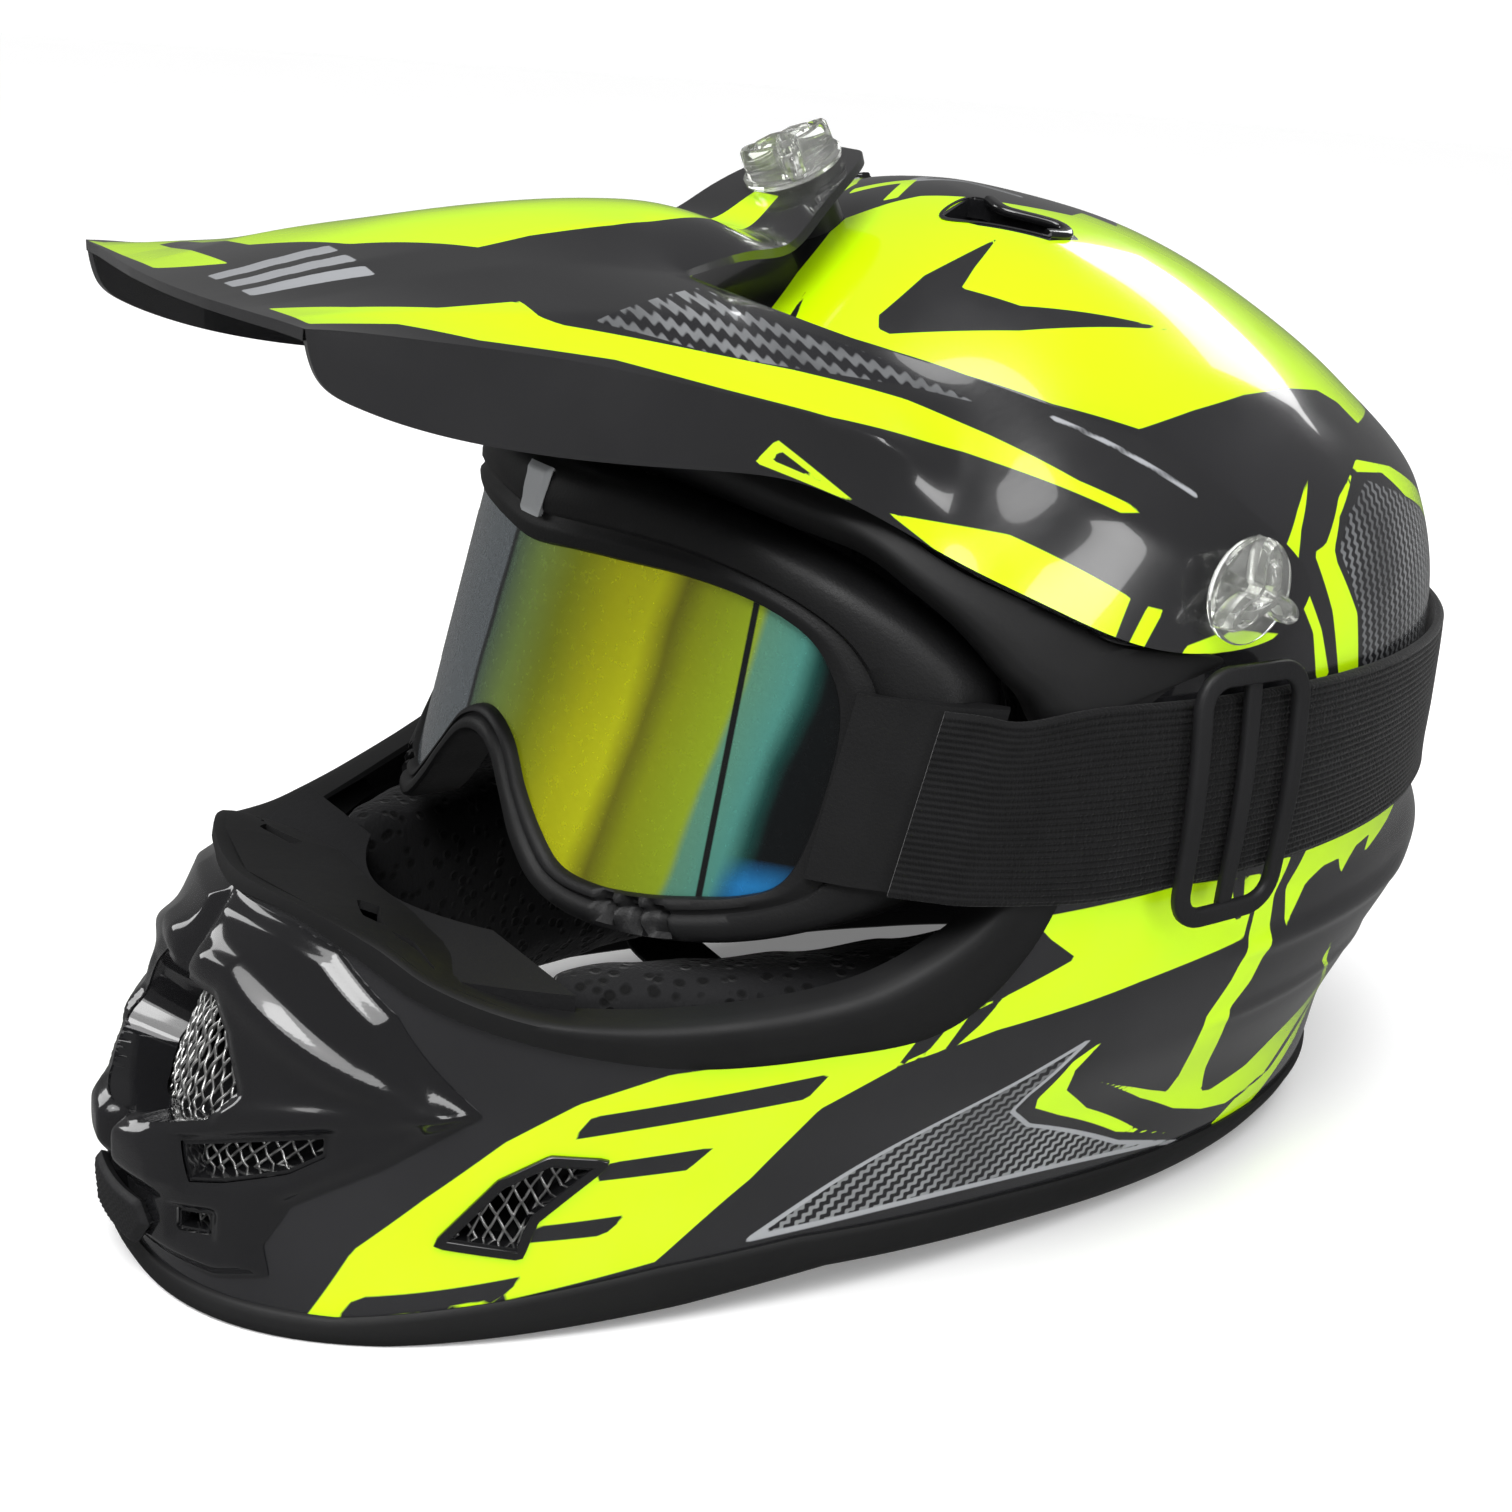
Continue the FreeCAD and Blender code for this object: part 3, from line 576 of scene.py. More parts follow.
class Shader:
    """Small helper for building one procedural material."""

    def __init__(self, name, **sockets):
        self.material = bpy.data.materials.new(name)
        self.material.use_nodes = True
        self.nodes = self.material.node_tree.nodes
        self.links = self.material.node_tree.links
        self.surface = self.nodes["Principled BSDF"]
        for socket, value in sockets.items():
            self.set(self.surface, socket.replace("_", " "), value)
        self.coordinates = self.nodes.new("ShaderNodeTexCoord").outputs["Object"]

    def set(self, node, socket, value):
        """Gives a socket a value, or a link where the value is another socket."""
        if isinstance(value, bpy.types.NodeSocket):
            self.links.new(value, node.inputs[socket])
        else:
            node.inputs[socket].default_value = value

    def math(self, operation, a, b=0.0, c=0.0):
        node = self.nodes.new("ShaderNodeMath")
        node.operation = operation
        for i, value in enumerate((a, b, c)):
            self.set(node, i, value)
        return node.outputs[0]

    def split(self, vector):
        node = self.nodes.new("ShaderNodeSeparateXYZ")
        self.links.new(vector, node.inputs[0])
        return node.outputs

    def noise(self, scale, detail=3.0, roughness=0.5, stretch=None):
        node = self.nodes.new("ShaderNodeTexNoise")
        node.inputs["Scale"].default_value = scale
        node.inputs["Detail"].default_value = detail
        node.inputs["Roughness"].default_value = roughness
        place = self.coordinates
        if stretch:
            mapping = self.nodes.new("ShaderNodeMapping")
            mapping.inputs["Scale"].default_value = stretch
            self.links.new(place, mapping.inputs["Vector"])
            place = mapping.outputs[0]
        self.links.new(place, node.inputs["Vector"])
        return node.outputs["Fac"]

    def cells(self, scale):
        node = self.nodes.new("ShaderNodeTexVoronoi")
        node.inputs["Scale"].default_value = scale
        self.links.new(self.coordinates, node.inputs["Vector"])
        return node.outputs["Distance"]

    def attribute(self, name):
        node = self.nodes.new("ShaderNodeAttribute")
        node.attribute_name = name
        return node.outputs["Fac"]

    def remap(self, value, low, high, to_low=0.0, to_high=1.0):
        node = self.nodes.new("ShaderNodeMapRange")
        node.clamp = True
        for socket, number in (("Value", value), ("From Min", low), ("From Max", high),
                               ("To Min", to_low), ("To Max", to_high)):
            self.set(node, socket, number)
        return node.outputs["Result"]

    def blend(self, amount, a, b):
        node = self.nodes.new("ShaderNodeMix")
        node.data_type = "RGBA"
        self.set(node, 0, amount)
        self.set(node, 6, a)
        self.set(node, 7, b)
        return node.outputs[2]

    def tint(self, colour, amount=0.25, scale=30.0):
        """A colour with a little uneven darkening."""
        dark = tuple(c * (1 - amount) for c in colour[:3]) + (1.0,)
        return self.blend(self.remap(self.noise(scale), 0.35, 0.65), dark, colour[:3] + (1.0,))

    def bump(self, height, strength=0.3, depth=0.001):
        node = self.nodes.new("ShaderNodeBump")
        node.inputs["Strength"].default_value = strength
        node.inputs["Distance"].default_value = depth
        self.links.new(height, node.inputs["Height"])
        self.links.new(node.outputs[0], self.surface.inputs["Normal"])

    def ramp(self, value, stops):
        node = self.nodes.new("ShaderNodeValToRGB")
        ramp = node.color_ramp
        ramp.elements[0].position, ramp.elements[0].color = stops[0][0], stops[0][1] + (1.0,)
        ramp.elements[1].position, ramp.elements[1].color = stops[-1][0], stops[-1][1] + (1.0,)
        for place, colour in stops[1:-1]:
            ramp.elements.new(place).color = colour + (1.0,)
        self.links.new(value, node.inputs[0])
        return node.outputs[0]


YELLOW = (0.60, 0.95, 0.002)
# colour of a painted glow: the yellow graphics give off light of their own
YELLOW_GLOW = (0.34, 0.62, 0.0, 1.0)
SILVER = (0.36, 0.37, 0.39)
FIBRE_DARK = (0.012, 0.012, 0.014, 1.0)
FIBRE_LIGHT = (0.30, 0.31, 0.32, 1.0)


def paint_material(name, base, roughness, coat, grain, low_turn, high_turn, pitch):
    """Painted plastic with the yellow, carbon and silver graphics kept in mesh fields.

    The carbon weave is turned by low_turn below the strap and by high_turn above it.
    """
    s = Shader(name, Coat_Weight=coat, Coat_Roughness=0.04)
    sharp = 0.12
    yellow = s.remap(s.attribute("yellow"), -sharp, sharp, 1.0, 0.0)
    carbon = s.remap(s.attribute("carbon"), -sharp, sharp, 1.0, 0.0)
    edge = s.math("ABSOLUTE", s.attribute("silver"))
    silver = s.remap(edge, 0.45, 0.75, 1.0, 0.0)
    turned = s.nodes.new("ShaderNodeVectorRotate")
    turned.rotation_type = "X_AXIS"
    s.links.new(s.coordinates, turned.inputs["Vector"])
    turn = s.remap(s.split(s.coordinates)[2], 0.11, 0.13, low_turn, high_turn)
    s.links.new(turn, turned.inputs["Angle"])
    _, along, over = s.split(turned.outputs[0])
    steps = s.math("SINE", s.math("MULTIPLY", along, pitch * 1.3))
    bands = s.math("SINE", s.math("MULTIPLY_ADD", over, pitch, s.math("MULTIPLY", steps, 0.9)))
    weave = s.remap(bands, -0.25, 0.55, 0.0, 1.0)
    light = s.remap(s.noise(20.0), 0.34, 0.66, 0.12, 1.0)
    fibre = s.blend(s.math("MULTIPLY", weave, light), FIBRE_DARK, FIBRE_LIGHT)
    colour = s.tint(base, 0.22, 18.0)
    colour = s.blend(carbon, colour, fibre)
    colour = s.blend(silver, colour, SILVER + (1.0,))
    bright = s.tint(YELLOW, 0.05, 9.0)
    colour = s.blend(yellow, colour, bright)
    s.set(s.surface, "Base Color", colour)
    # painted glow: the yellow graphics give off a little light of their own, as if brightly lit
    glow = s.blend(yellow, (0.0, 0.0, 0.0, 1.0), YELLOW_GLOW)
    s.set(s.surface, "Emission Color", glow)
    s.surface.inputs["Emission Strength"].default_value = 0.22
    s.set(s.surface, "Roughness", s.remap(s.noise(60.0), 0.3, 0.7, roughness, roughness + 0.07))
    if grain:
        rough = s.noise(420.0, 4.0, 0.6, (1.0, 0.35, 1.0))
        s.bump(rough, grain, 0.0006)
    else:
        s.bump(s.noise(90.0, 2.0), 0.03, 0.0006)
    return s.material


def plastic(name, colour, roughness, coat=0.0, grain=0.08, grain_scale=900.0, uneven=0.2):
    """Moulded plastic with a fine grain."""
    s = Shader(name, Coat_Weight=coat, Coat_Roughness=0.05, Specular_IOR_Level=0.3)
    s.set(s.surface, "Base Color", s.tint(colour, uneven, 24.0))
    s.set(s.surface, "Roughness", s.remap(s.noise(70.0), 0.3, 0.7, roughness, roughness + 0.08))
    s.bump(s.noise(grain_scale, 4.0, 0.6), grain, 0.0005)
    return s.material


def fabric(name, colour, scale, holes=0.0):
    """Woven or knitted cloth with sheen; holes makes it an open spacer mesh with painted shade in the holes.
    """
    s = Shader(name, Sheen_Weight=0.15, Sheen_Roughness=0.4, Roughness=0.85,
               Specular_IOR_Level=0.25)
    thread = s.math("MULTIPLY", s.noise(scale, 2.0, 0.6, (1.0, 1.0, 0.3)), 0.6)
    if holes:
        opening = s.remap(s.cells(holes), 0.25, 0.42, 0.0, 1.0)
        thread = s.math("ADD", thread, opening)
        # painted shade: the holes are coloured much darker, as the shade inside them
        s.set(s.surface, "Base Color", s.blend(opening, tuple(c * 0.15 for c in colour) + (1.0,),
                                               colour + (1.0,)))
    else:
        s.set(s.surface, "Base Color", s.tint(colour, 0.35, 120.0))
    s.bump(thread, 0.55, 0.0012)
    return s.material


def metal(name, colour, roughness):
    """Drawn metal with fine marks along its height."""
    s = Shader(name, Metallic=1.0)
    s.set(s.surface, "Base Color", s.tint(colour, 0.18, 60.0))
    s.set(s.surface, "Roughness", s.remap(s.noise(300.0, 2.0, 0.5, (1, 1, 0.1)), 0.3, 0.7,
                                          roughness, roughness + 0.12))
    s.bump(s.noise(1500.0), 0.05, 0.0002)
    return s.material


def clear_plastic():
    """Clear moulded plastic of the thumb screws."""
    s = Shader("clear_screw_plastic", Transmission_Weight=0.93, IOR=1.46)
    s.set(s.surface, "Base Color", s.tint((0.96, 0.97, 0.94), 0.04, 30.0))
    s.set(s.surface, "Roughness", s.remap(s.noise(200.0), 0.3, 0.7, 0.02, 0.08))
    s.bump(s.noise(180.0), 0.06, 0.0005)
    return s.material


def mirror_lens():
    """Mirror-coated lens: upright bands of colour and a fine orange-peel texture."""
    s = Shader("mirror_lens", Metallic=0.5, Coat_Weight=0.6, Coat_Roughness=0.03)
    wobble = s.math("MULTIPLY_ADD", s.noise(26.0, 2.0), 0.03, s.attribute("across"))
    bands = s.ramp(wobble, (
        (0.00, (0.10, 0.12, 0.14)), (0.10, (0.24, 0.28, 0.31)), (0.20, (0.16, 0.19, 0.21)),
        (0.445, (0.20, 0.23, 0.25)), (0.450, (0.006, 0.008, 0.008)),
        (0.456, (0.006, 0.008, 0.008)), (0.462, (0.12, 0.20, 0.12)),
        (0.53, (0.30, 0.44, 0.08)), (0.60, (0.36, 0.42, 0.005)), (0.68, (0.72, 0.74, 0.005)),
        (0.735, (0.80, 0.84, 0.01)), (0.77, (0.22, 0.22, 0.01)), (0.80, (0.36, 0.42, 0.01)),
        (0.862, (0.38, 0.52, 0.02)), (0.870, (0.14, 0.36, 0.24)), (0.915, (0.10, 0.36, 0.30)),
        (0.935, (0.01, 0.07, 0.06)), (0.95, (0.003, 0.005, 0.006)),
        (1.00, (0.003, 0.004, 0.005))))
    seam = s.remap(s.math("ABSOLUTE", s.attribute("seam")), 0.5, 0.8, 1.0, 0.0)
    colour = s.blend(seam, bands, (0.01, 0.012, 0.012, 1.0))
    blue = s.math("MULTIPLY", s.remap(s.attribute("across"), 0.90, 0.93),
                  s.remap(s.attribute("height"), 0.14, 0.22, 1.0, 0.0))
    colour = s.blend(blue, colour, (0.02, 0.25, 0.62, 1.0))
    s.set(s.surface, "Base Color", colour)
    s.set(s.surface, "Roughness", s.remap(s.noise(500.0), 0.3, 0.7, 0.16, 0.30))
    s.bump(s.noise(620.0, 3.0, 0.6), 0.24, 0.0004)
    return s.material


SHELL_PAINT = paint_material("shell_paint", (0.020, 0.020, 0.022), 0.16, 0.9, 0.0,
                             math.radians(-48), math.radians(78), 2100.0)
PEAK_PAINT = paint_material("peak_plastic", (0.018, 0.018, 0.0195), 0.18, 0.85, 0.05,
                            0.35, 0.35, 1650.0)
GLOSS_BLACK = plastic("gloss_black_moulding", (0.010, 0.010, 0.011), 0.10, 1.0, 0.04, 120.0)
MATTE_BLACK = plastic("matte_black_plastic", (0.014, 0.014, 0.015), 0.42, 0.0, 0.15, 900.0)
FRAME_BLACK = plastic("goggle_frame_plastic", (0.008, 0.008, 0.0085), 0.46, 0.0, 0.18, 1300.0)
RUBBER = plastic("trim_rubber", (0.010, 0.010, 0.0105), 0.55, 0.0, 0.12, 700.0)
FOAM = plastic("liner_foam", (0.010, 0.010, 0.011), 0.8, 0.0, 0.35, 500.0)
CLIP_GREY = plastic("clip_grey", (0.34, 0.35, 0.36), 0.35, 0.1, 0.06, 700.0, 0.08)
LEVER_RED = plastic("lever_plastic", (0.48, 0.02, 0.015), 0.32, 0.2, 0.08, 800.0)
CLEAR = clear_plastic()
LENS = mirror_lens()
COMFORT = fabric("comfort_fabric", (0.012, 0.012, 0.013), 700.0, 260.0)
GOGGLE_FOAM = fabric("goggle_foam", (0.016, 0.016, 0.017), 1500.0)
ELASTIC = fabric("elastic_webbing", (0.005, 0.005, 0.0055), 1400.0)
WEBBING = fabric("chin_webbing", (0.012, 0.012, 0.013), 1100.0)
WIRE = metal("mesh_metal", (0.62, 0.62, 0.61), 0.32)
STEEL = metal("steel_hardware", (0.55, 0.55, 0.57), 0.25)
BRASS = metal("insert_brass", (0.62, 0.44, 0.16), 0.28)

# ------------------------------------------------------------------ outlines on the shell

# Side view (y, z): the edge of the rubber trim on the shell, and the edge of the hole.
EYEPORT_TRIM = (
    ((-201, 91), (-198, 95)), ((-197, 92), (-194, 95)), ((-190, 88), (-186, 92)),
    ((-181, 81), (-178, 86)), ((-168, 76), (-163, 81)), ((-150, 72), (-150, 80)),
    ((-130, 70), (-132, 81)), ((-106, 72), (-108, 85)), ((-79, 77), (-91, 91)),
    ((-62, 95), (-74, 104)), ((-52, 120), (-64, 122)), ((-46, 143), (-60, 140)),
    ((-32, 155), (-60, 146)), ((-16, 160), (-62, 150)), ((-34, 164), (-65, 155)),
    ((-46, 166), (-70, 160)), ((-56, 171), (-74, 165)), ((-67, 176), (-79, 171)),
    ((-78, 181), (-86, 178)), ((-86, 188), (-93, 185)), ((-95, 199), (-104, 190)),
    ((-101, 205), (-114, 193)),
)
BOTTOM_EDGE = ((-260, 0), (-190, 0), (-127, 4), (-90, 8), (-37, 5), (20, 1), (60, 0), (180, 0))
BOTTOM_TRIM_TOP = ((-260, 6), (-200, 6), (-171, 10), (-132, 16), (-98, 19), (-42, 18), (20, 15),
                   (180, 10))
SIDE_VENT = ((-180, 25), (-164, 22), (-161, 31), (-147, 45), (-158, 46), (-168, 40))
# Front view (x, z), left half of the outline.
MOUTHPIECE = ((0, 91), (23, 90.5), (36, 88), (51, 77), (66, 56), (55, 42), (43, 31), (39, 20),
              (41, 13), (31, 9.5), (0, 9.5))
CHIN_WINDOW = ((0, 72), (14, 71), (21, 65), (28, 54), (25, 47), (12, 42), (0, 39))
CHIN_SLOT = ((20, 40.5), (33, 45), (46, 49), (47, 44), (42, 39), (31, 34), (23, 31.5))
CHIN_LOW_WINDOW = ((20, 24), (29, 26), (29, 20), (20, 18))
CHIN_OPENINGS = (CHIN_WINDOW, CHIN_SLOT, CHIN_LOW_WINDOW)
CHIN_CENTRE = CHIN_WINDOW + tuple((-x, z) for x, z in CHIN_WINDOW[-2:0:-1])
CHIN_HOLE = ((-1, 82), (24, 80), (34, 70), (48, 54), (50, 44), (40, 33), (34, 28), (33, 14),
             (-1, 14))
REAR_VENT = ((15, 62), (45, 62), (45, 72), (15, 72))
# Points on the shell round the slot of a crown vent.
CROWN_VENT = ((27, -33, 246), (22, -21, 250), (25, -17, 250), (33, -18, 248), (41, -9, 246),
              (46, -10, 244), (46, -16, 244), (36, -27, 246))

# Yellow shapes on the shell, as points near its surface on the left side.
YELLOW_SHAPES = (
    # crown
    ((-6, -77, 224), (20, -77, 224), (15, -66, 232), (8, -52, 240), (6, -46, 243), (10, -36, 247),
     (13, -29, 249), (19, -23, 250), (25, -14, 249), (31, 5, 247), (25, 14, 247), (32, 20, 245),
     (22, 30, 246), (16, 40, 245), (24, 56, 239), (40, 75, 226), (58, 82, 212), (75, 76, 205),
     (88, 56, 204), (85, 51, 209), (85, 42, 212), (89, 27, 214), (94, 8, 215), (97, -11, 213),
     (97, -28, 209), (86, -45, 213), (71, -58, 217), (55, -67, 220), (19, -79, 222),
     (-6, -80, 222)),
    # thin V behind the peak's tongue
    ((-9, -33, 249), (0, -20, 252), (9, -33, 249), (7, -36, 248), (0, -25, 251), (-7, -36, 248)),
    # streak from the chin along the side
    ((48, -205, 4), (53, -196, 22), (61, -182, 36), (69, -167, 50), (77, -153, 60),
     (87, -136, 68), (98, -114, 72), (108, -89, 79), (115, -66, 84), (119, -48, 92),
     (118, -56, 98), (117, -62, 104), (119, -20, 106), (121, 10, 103), (119, 8, 86),
     (120, -27, 82), (114, -65, 75), (106, -86, 68), (98, -102, 57), (90, -114, 38),
     (83, -134, 18), (73, -162, 12), (62, -188, 6)),
    # lower streaks behind
    ((119, 13, 106), (118, 21, 105), (118, 18, 95), (118, 19, 85), (115, 17, 71),
     (113, 13, 64), (104, 20, 40), (99, 24, 31), (100, 17, 31), (101, 10, 33), (103, 7, 36),
     (105, 8, 42), (111, 5, 56), (114, 4, 64), (117, 8, 74), (119, 10, 84), (119, 11, 96)),
    ((110, -26, 51), (108, -17, 47), (105, -2, 40), (101, 13, 34), (98, 28, 30), (96, 44, 32),
     (94, 56, 38), (90, 69, 43), (86, 84, 54), (82, 96, 66), (80, 98, 60), (84, 86, 42),
     (88, 72, 31), (89, 60, 24), (94, 40, 21), (97, 27, 24), (100, 13, 29), (104, -4, 38)),
    ((80, 92, 44), (82, 79, 26), (87, 62, 16), (89, 51, 11), (94, 36, 14), (93, 45, 20),
     (88, 63, 23), (84, 78, 32)),
    # fang below the strap, behind
    ((117, 28, 106), (115, 36, 106), (105, 68, 107), (95, 89, 105), (101, 78, 100),
     (108, 63, 95), (107, 64, 100), (110, 56, 99), (112, 50, 93), (113, 47, 98),
     (115, 39, 98), (116, 32, 95), (117, 26, 84), (118, 23, 96)),
    # blade beside the carbon triangle
    ((116, -32, 66), (112, -37, 58), (109, -36, 51), (105, -24, 41), (100, 1, 26), (97, 20, 18),
     (101, -8, 28), (105, -33, 41), (107, -43, 46), (108, -44, 50), (113, -39, 61)),
    # short streak low at the back
    ((99, 50, 75), (101, 54, 66), (93, 72, 50), (84, 86, 36), (90, 72, 52), (97, 56, 66)),
    # below the side screw
    ((118, -30, 166), (119, -18, 168), (119, -1, 164), (120, -16, 162), (118, -34, 161)),
    # spike in front of the rear panel
    ((106, 19, 198), (112, 11, 191), (115, 4, 182), (116, 4, 178), (117, 8, 173), (119, 15, 163),
     (121, 18, 152), (119, 23, 151), (118, 18, 163), (117, 12, 173), (116, 9, 180), (114, 11, 187)),
    # rim of the rear panel
    ((115, 20, 183), (109, 28, 192), (101, 43, 199), (96, 62, 195), (89, 82, 186), (80, 97, 176),
     (70, 107, 166), (72, 110, 158), (82, 98, 172), (92, 80, 182), (98, 65, 187), (99, 54, 194),
     (103, 38, 196), (110, 26, 187), (114, 23, 181), (115, 24, 178), (116, 33, 165),
     (117, 36, 150), (118, 27, 150), (117, 22, 167), (115, 15, 181)),
)
# Dark shapes cut out of the yellow.
DARK_SHAPES = (
    ((48, -66, 224), (45, -64, 227), (43, -50, 235), (43, -29, 243), (49, -40, 238),
     (52, -46, 233), (64, -38, 231), (79, -4, 227), (69, -42, 226), (51, -65, 223)),
    ((23, -69, 229), (29, -76, 223), (27, -77, 223)),
    ((26, -34, 246), (21, -20, 250), (20, -14, 250), (31, -16, 248), (41, -6, 247),
     (48, -7, 244), (48, -17, 243), (36, -29, 245)),
    ((76, -154, 51), (78, -150, 57), (101, -102, 67), (98, -106, 60)),
    ((80, -146, 45), (89, -124, 48), (86, -129, 42), (78, -150, 40)),
    ((73, -161, 29), (81, -141, 31), (79, -146, 26), (72, -163, 25)),
    ((53, -200, 6), (55, -196, 11), (73, -162, 17), (71, -167, 12)),
    ((106, -87, 68), (110, -83, 78), (111, -82, 81), (112, -76, 81), (109, -81, 71)),
    ((110, -77, 71), (113, -73, 81), (115, -66, 84), (115, -65, 85), (113, -70, 77),
     (110, -74, 72)),
    ((117, -2, 104), (120, 3, 92), (120, 6, 92), (119, 3, 104)),
)
CARBON_SHAPES = (
    ((89, -112, 21), (115, -37, 67), (109, -48, 52), (106, -50, 47), (104, -42, 40),
     (100, -6, 24), (95, 24, 14), (98, 10, 18), (93, -95, 22)),
    ((114, 25, 181), (109, 30, 187), (101, 42, 192), (97, 62, 186), (90, 80, 179),
     (80, 96, 168), (68, 106, 160), (74, 106, 144), (100, 62, 146), (117, 38, 151),
     (116, 34, 166)),
)
SILVER_SHAPES = (
    CARBON_SHAPES[0],
    ((-3, -29, 250), (5, -9, 252), (18, -1, 250), (17, 0, 250), (4, -7, 252), (-4, -28, 250)),
)


def flat_shape(shape):
    """An outline of points near the shell, in its side chart."""
    return side_chart(np.array(shape, float))


def shell_paint(points):
    """Signed distances from the yellow, carbon and silver graphics."""
    places = side_chart(left_half(points))
    yellow = np.min([distance(places, flat_shape(shape)) for shape in YELLOW_SHAPES], axis=0)
    for shape in DARK_SHAPES:
        yellow = np.maximum(yellow, -distance(places, flat_shape(shape)))
    carbon = np.min([distance(places, flat_shape(shape)) for shape in CARBON_SHAPES], axis=0)
    lines = np.array([distance(places, flat_shape(shape)) for shape in SILVER_SHAPES])
    nearest = np.argmin(np.abs(lines), axis=0)
    silver = lines[nearest, np.arange(len(points))]
    return {"yellow": yellow, "carbon": carbon, "silver": silver}


def along_outline(outline, y):
    """Height of a side-view outline at y."""
    table = np.array(outline, float)
    return np.interp(y, table[:, 0], table[:, 1])


def eyeport_curves():
    """The outer and inner edge of the eyeport trim on the left side, from chin to brow."""
    curves = []
    for k in (0, 1):
        line = np.array([pair[k] for pair in EYEPORT_TRIM], float)
        x = shell_x(line[:, 0], line[:, 1])
        points = np.stack([x, line[:, 0], line[:, 1]], 1)
        for end in (0, -1):
            points[end] = (0, front_y([0], [line[end, 1]])[0], line[end, 1])
        curves.append(points)
    return curves


def whole_ring(left):
    """A half curve from the middle line and back, closed on the other side."""
    return np.vstack([left, flipped(left[1:-1])[::-1]])


def rear_relief(points):
    """How far the rear of the shell swells: two raised lines with a hollow over the upper."""
    y, z = points[:, 1], points[:, 2]
    upper_line = 1.1 * np.exp(-((z - 82) / 2.6) ** 2)
    lower_line = 0.6 * np.exp(-((z - 61) / 2.2) ** 2)
    hollow = 1.0 * smooth_step(z, 83, 87) * (1 - smooth_step(z, 94, 104))
    behind = smooth_step(y, -5, 25) * (1 - smooth_step(y, 80, 110))
    return behind * (upper_line + lower_line - hollow)


SHELL_COLUMNS = 520
SHELL_ROWS = 250


def build_shell():
    turns = np.linspace(0, 2 * math.pi, SHELL_COLUMNS, endpoint=False)
    low, rays = ring_points(turns, np.full(SHELL_COLUMNS, 6.0))
    low, rays = ring_points(turns, along_outline(BOTTOM_EDGE, low[:, 1]) + 2.0)
    reach = np.linalg.norm(low[:, :2] - CENTRE[:2], axis=1)
    lowest = np.arctan2(low[:, 2] - CENTRE[2], reach)
    grid = []
    for k in range(SHELL_ROWS):
        lean = lowest + (math.pi / 2 - 0.002 - lowest) * k / (SHELL_ROWS - 1)
        grid.append(rays * np.cos(lean)[:, None] + np.array([0, 0, 1.0]) * np.sin(lean)[:, None])
    points = cast(np.vstack(grid))
    points = points + shell_normals(points) * rear_relief(points)[:, None]
    faces = grid_faces(SHELL_ROWS, SHELL_COLUMNS, True)
    faces.append(list(range((SHELL_ROWS - 1) * SHELL_COLUMNS, SHELL_ROWS * SHELL_COLUMNS)))
    outer, inner = eyeport_curves()
    eye_hole = np.vstack([(outer * 0.35 + inner * 0.65)[:, 1:], [[-300, 194], [-300, 94]]])
    points, faces = clip(points, faces, distance(points[:, 1:], eye_hole))
    chin = distance(np.abs(points[:, [0, 2]]), CHIN_HOLE)
    points, faces = clip(points, faces, np.where(points[:, 1] < -100, chin, FAR_OUTSIDE))
    points, faces = clip(points, faces, distance(points[:, 1:], SIDE_VENT))
    slot = distance(side_chart(left_half(points)), flat_shape(CROWN_VENT))
    points, faces = clip(points, faces, slot)
    rear = distance(left_half(points)[:, [0, 2]], REAR_VENT)
    points, faces = clip(points, faces, np.where(points[:, 1] > 60, rear, FAR_OUTSIDE))
    make_piece("outer_shell_painted", (points, faces), SHELL_PAINT, "helmet", "outer_shell",
               wall=4.6, fields=shell_paint)


def build_eyeport_trim():
    outer, inner = [even_spline(curve, 12) for curve in eyeport_curves()]
    # how far across from the outer edge to the hole, and the height over the shell
    profile = ((-0.03, -0.8), (0.00, 0.9), (0.05, 1.7), (0.30, 2.0), (0.62, 2.3), (0.84, 2.4),
               (0.95, 1.7), (1.01, 0.2), (1.04, -3.0), (1.03, -8.0), (0.90, -8.6), (0.80, -5.0),
               (0.30, -1.6))
    rings = []
    for share, lift in profile:
        line = outer * (1 - share) + inner * share
        rings.append(whole_ring(on_shell(line, lift)))
    make_piece("eyeport_rubber_trim", sheet(rings + rings[:1], True), RUBBER, "helmet",
               "eyeport_trim", sharp=50)


def build_bottom_trim():
    turns = np.linspace(0, 2 * math.pi, 360, endpoint=False)
    first, rays = ring_points(turns, np.full(len(turns), 6.0))
    low = along_outline(BOTTOM_EDGE, first[:, 1])
    high = along_outline(BOTTOM_TRIM_TOP, first[:, 1])
    # out from the shell, how far up from the lower edge, and the rise added to that
    profile = ((-1.2, 1.0, 0.0), (0.7, 1.0, 0.2), (1.4, 1.0, -0.5), (1.7, 1.0, -1.6),
               (1.8, 0.5, 0.0), (1.7, 0.0, 2.2), (1.1, 0.0, 0.8), (0.0, 0.0, 0.0),
               (-4.0, 0.0, 0.0), (-5.2, 0.0, 0.7), (-5.6, 0.0, 2.0), (-5.6, 1.0, -1.0),
               (-4.8, 1.0, 0.0))
    rings = []
    for out, share, rise in profile:
        points, _ = ring_points(turns, low * (1 - share) + high * share + rise)
        rings.append(points + rays * out)
    make_piece("bottom_edge_rubber_trim", sheet(rings + rings[:1], True), RUBBER, "helmet",
               "bottom_trim", sharp=50)


# ------------------------------------------------------------------ chin bar


def front_points(x, z, lift):
    """Points of the shell's front at places of the front view, lifted off it."""
    points = np.stack([x, front_y(x, z), z], 1)
    return points + shell_normals(points) * np.asarray(lift).reshape(-1, 1)


def line_distance(places, line):
    """Distance of flat places from an open line."""
    best = np.full(len(places), 1e9)
    for a, b in zip(np.asarray(line, float), np.asarray(line, float)[1:]):
        edge = b - a
        t = np.clip(((places - a) @ edge) / (edge @ edge), 0, 1)
        best = np.minimum(best, np.linalg.norm(places - a - t[:, None] * edge, axis=1))
    return best


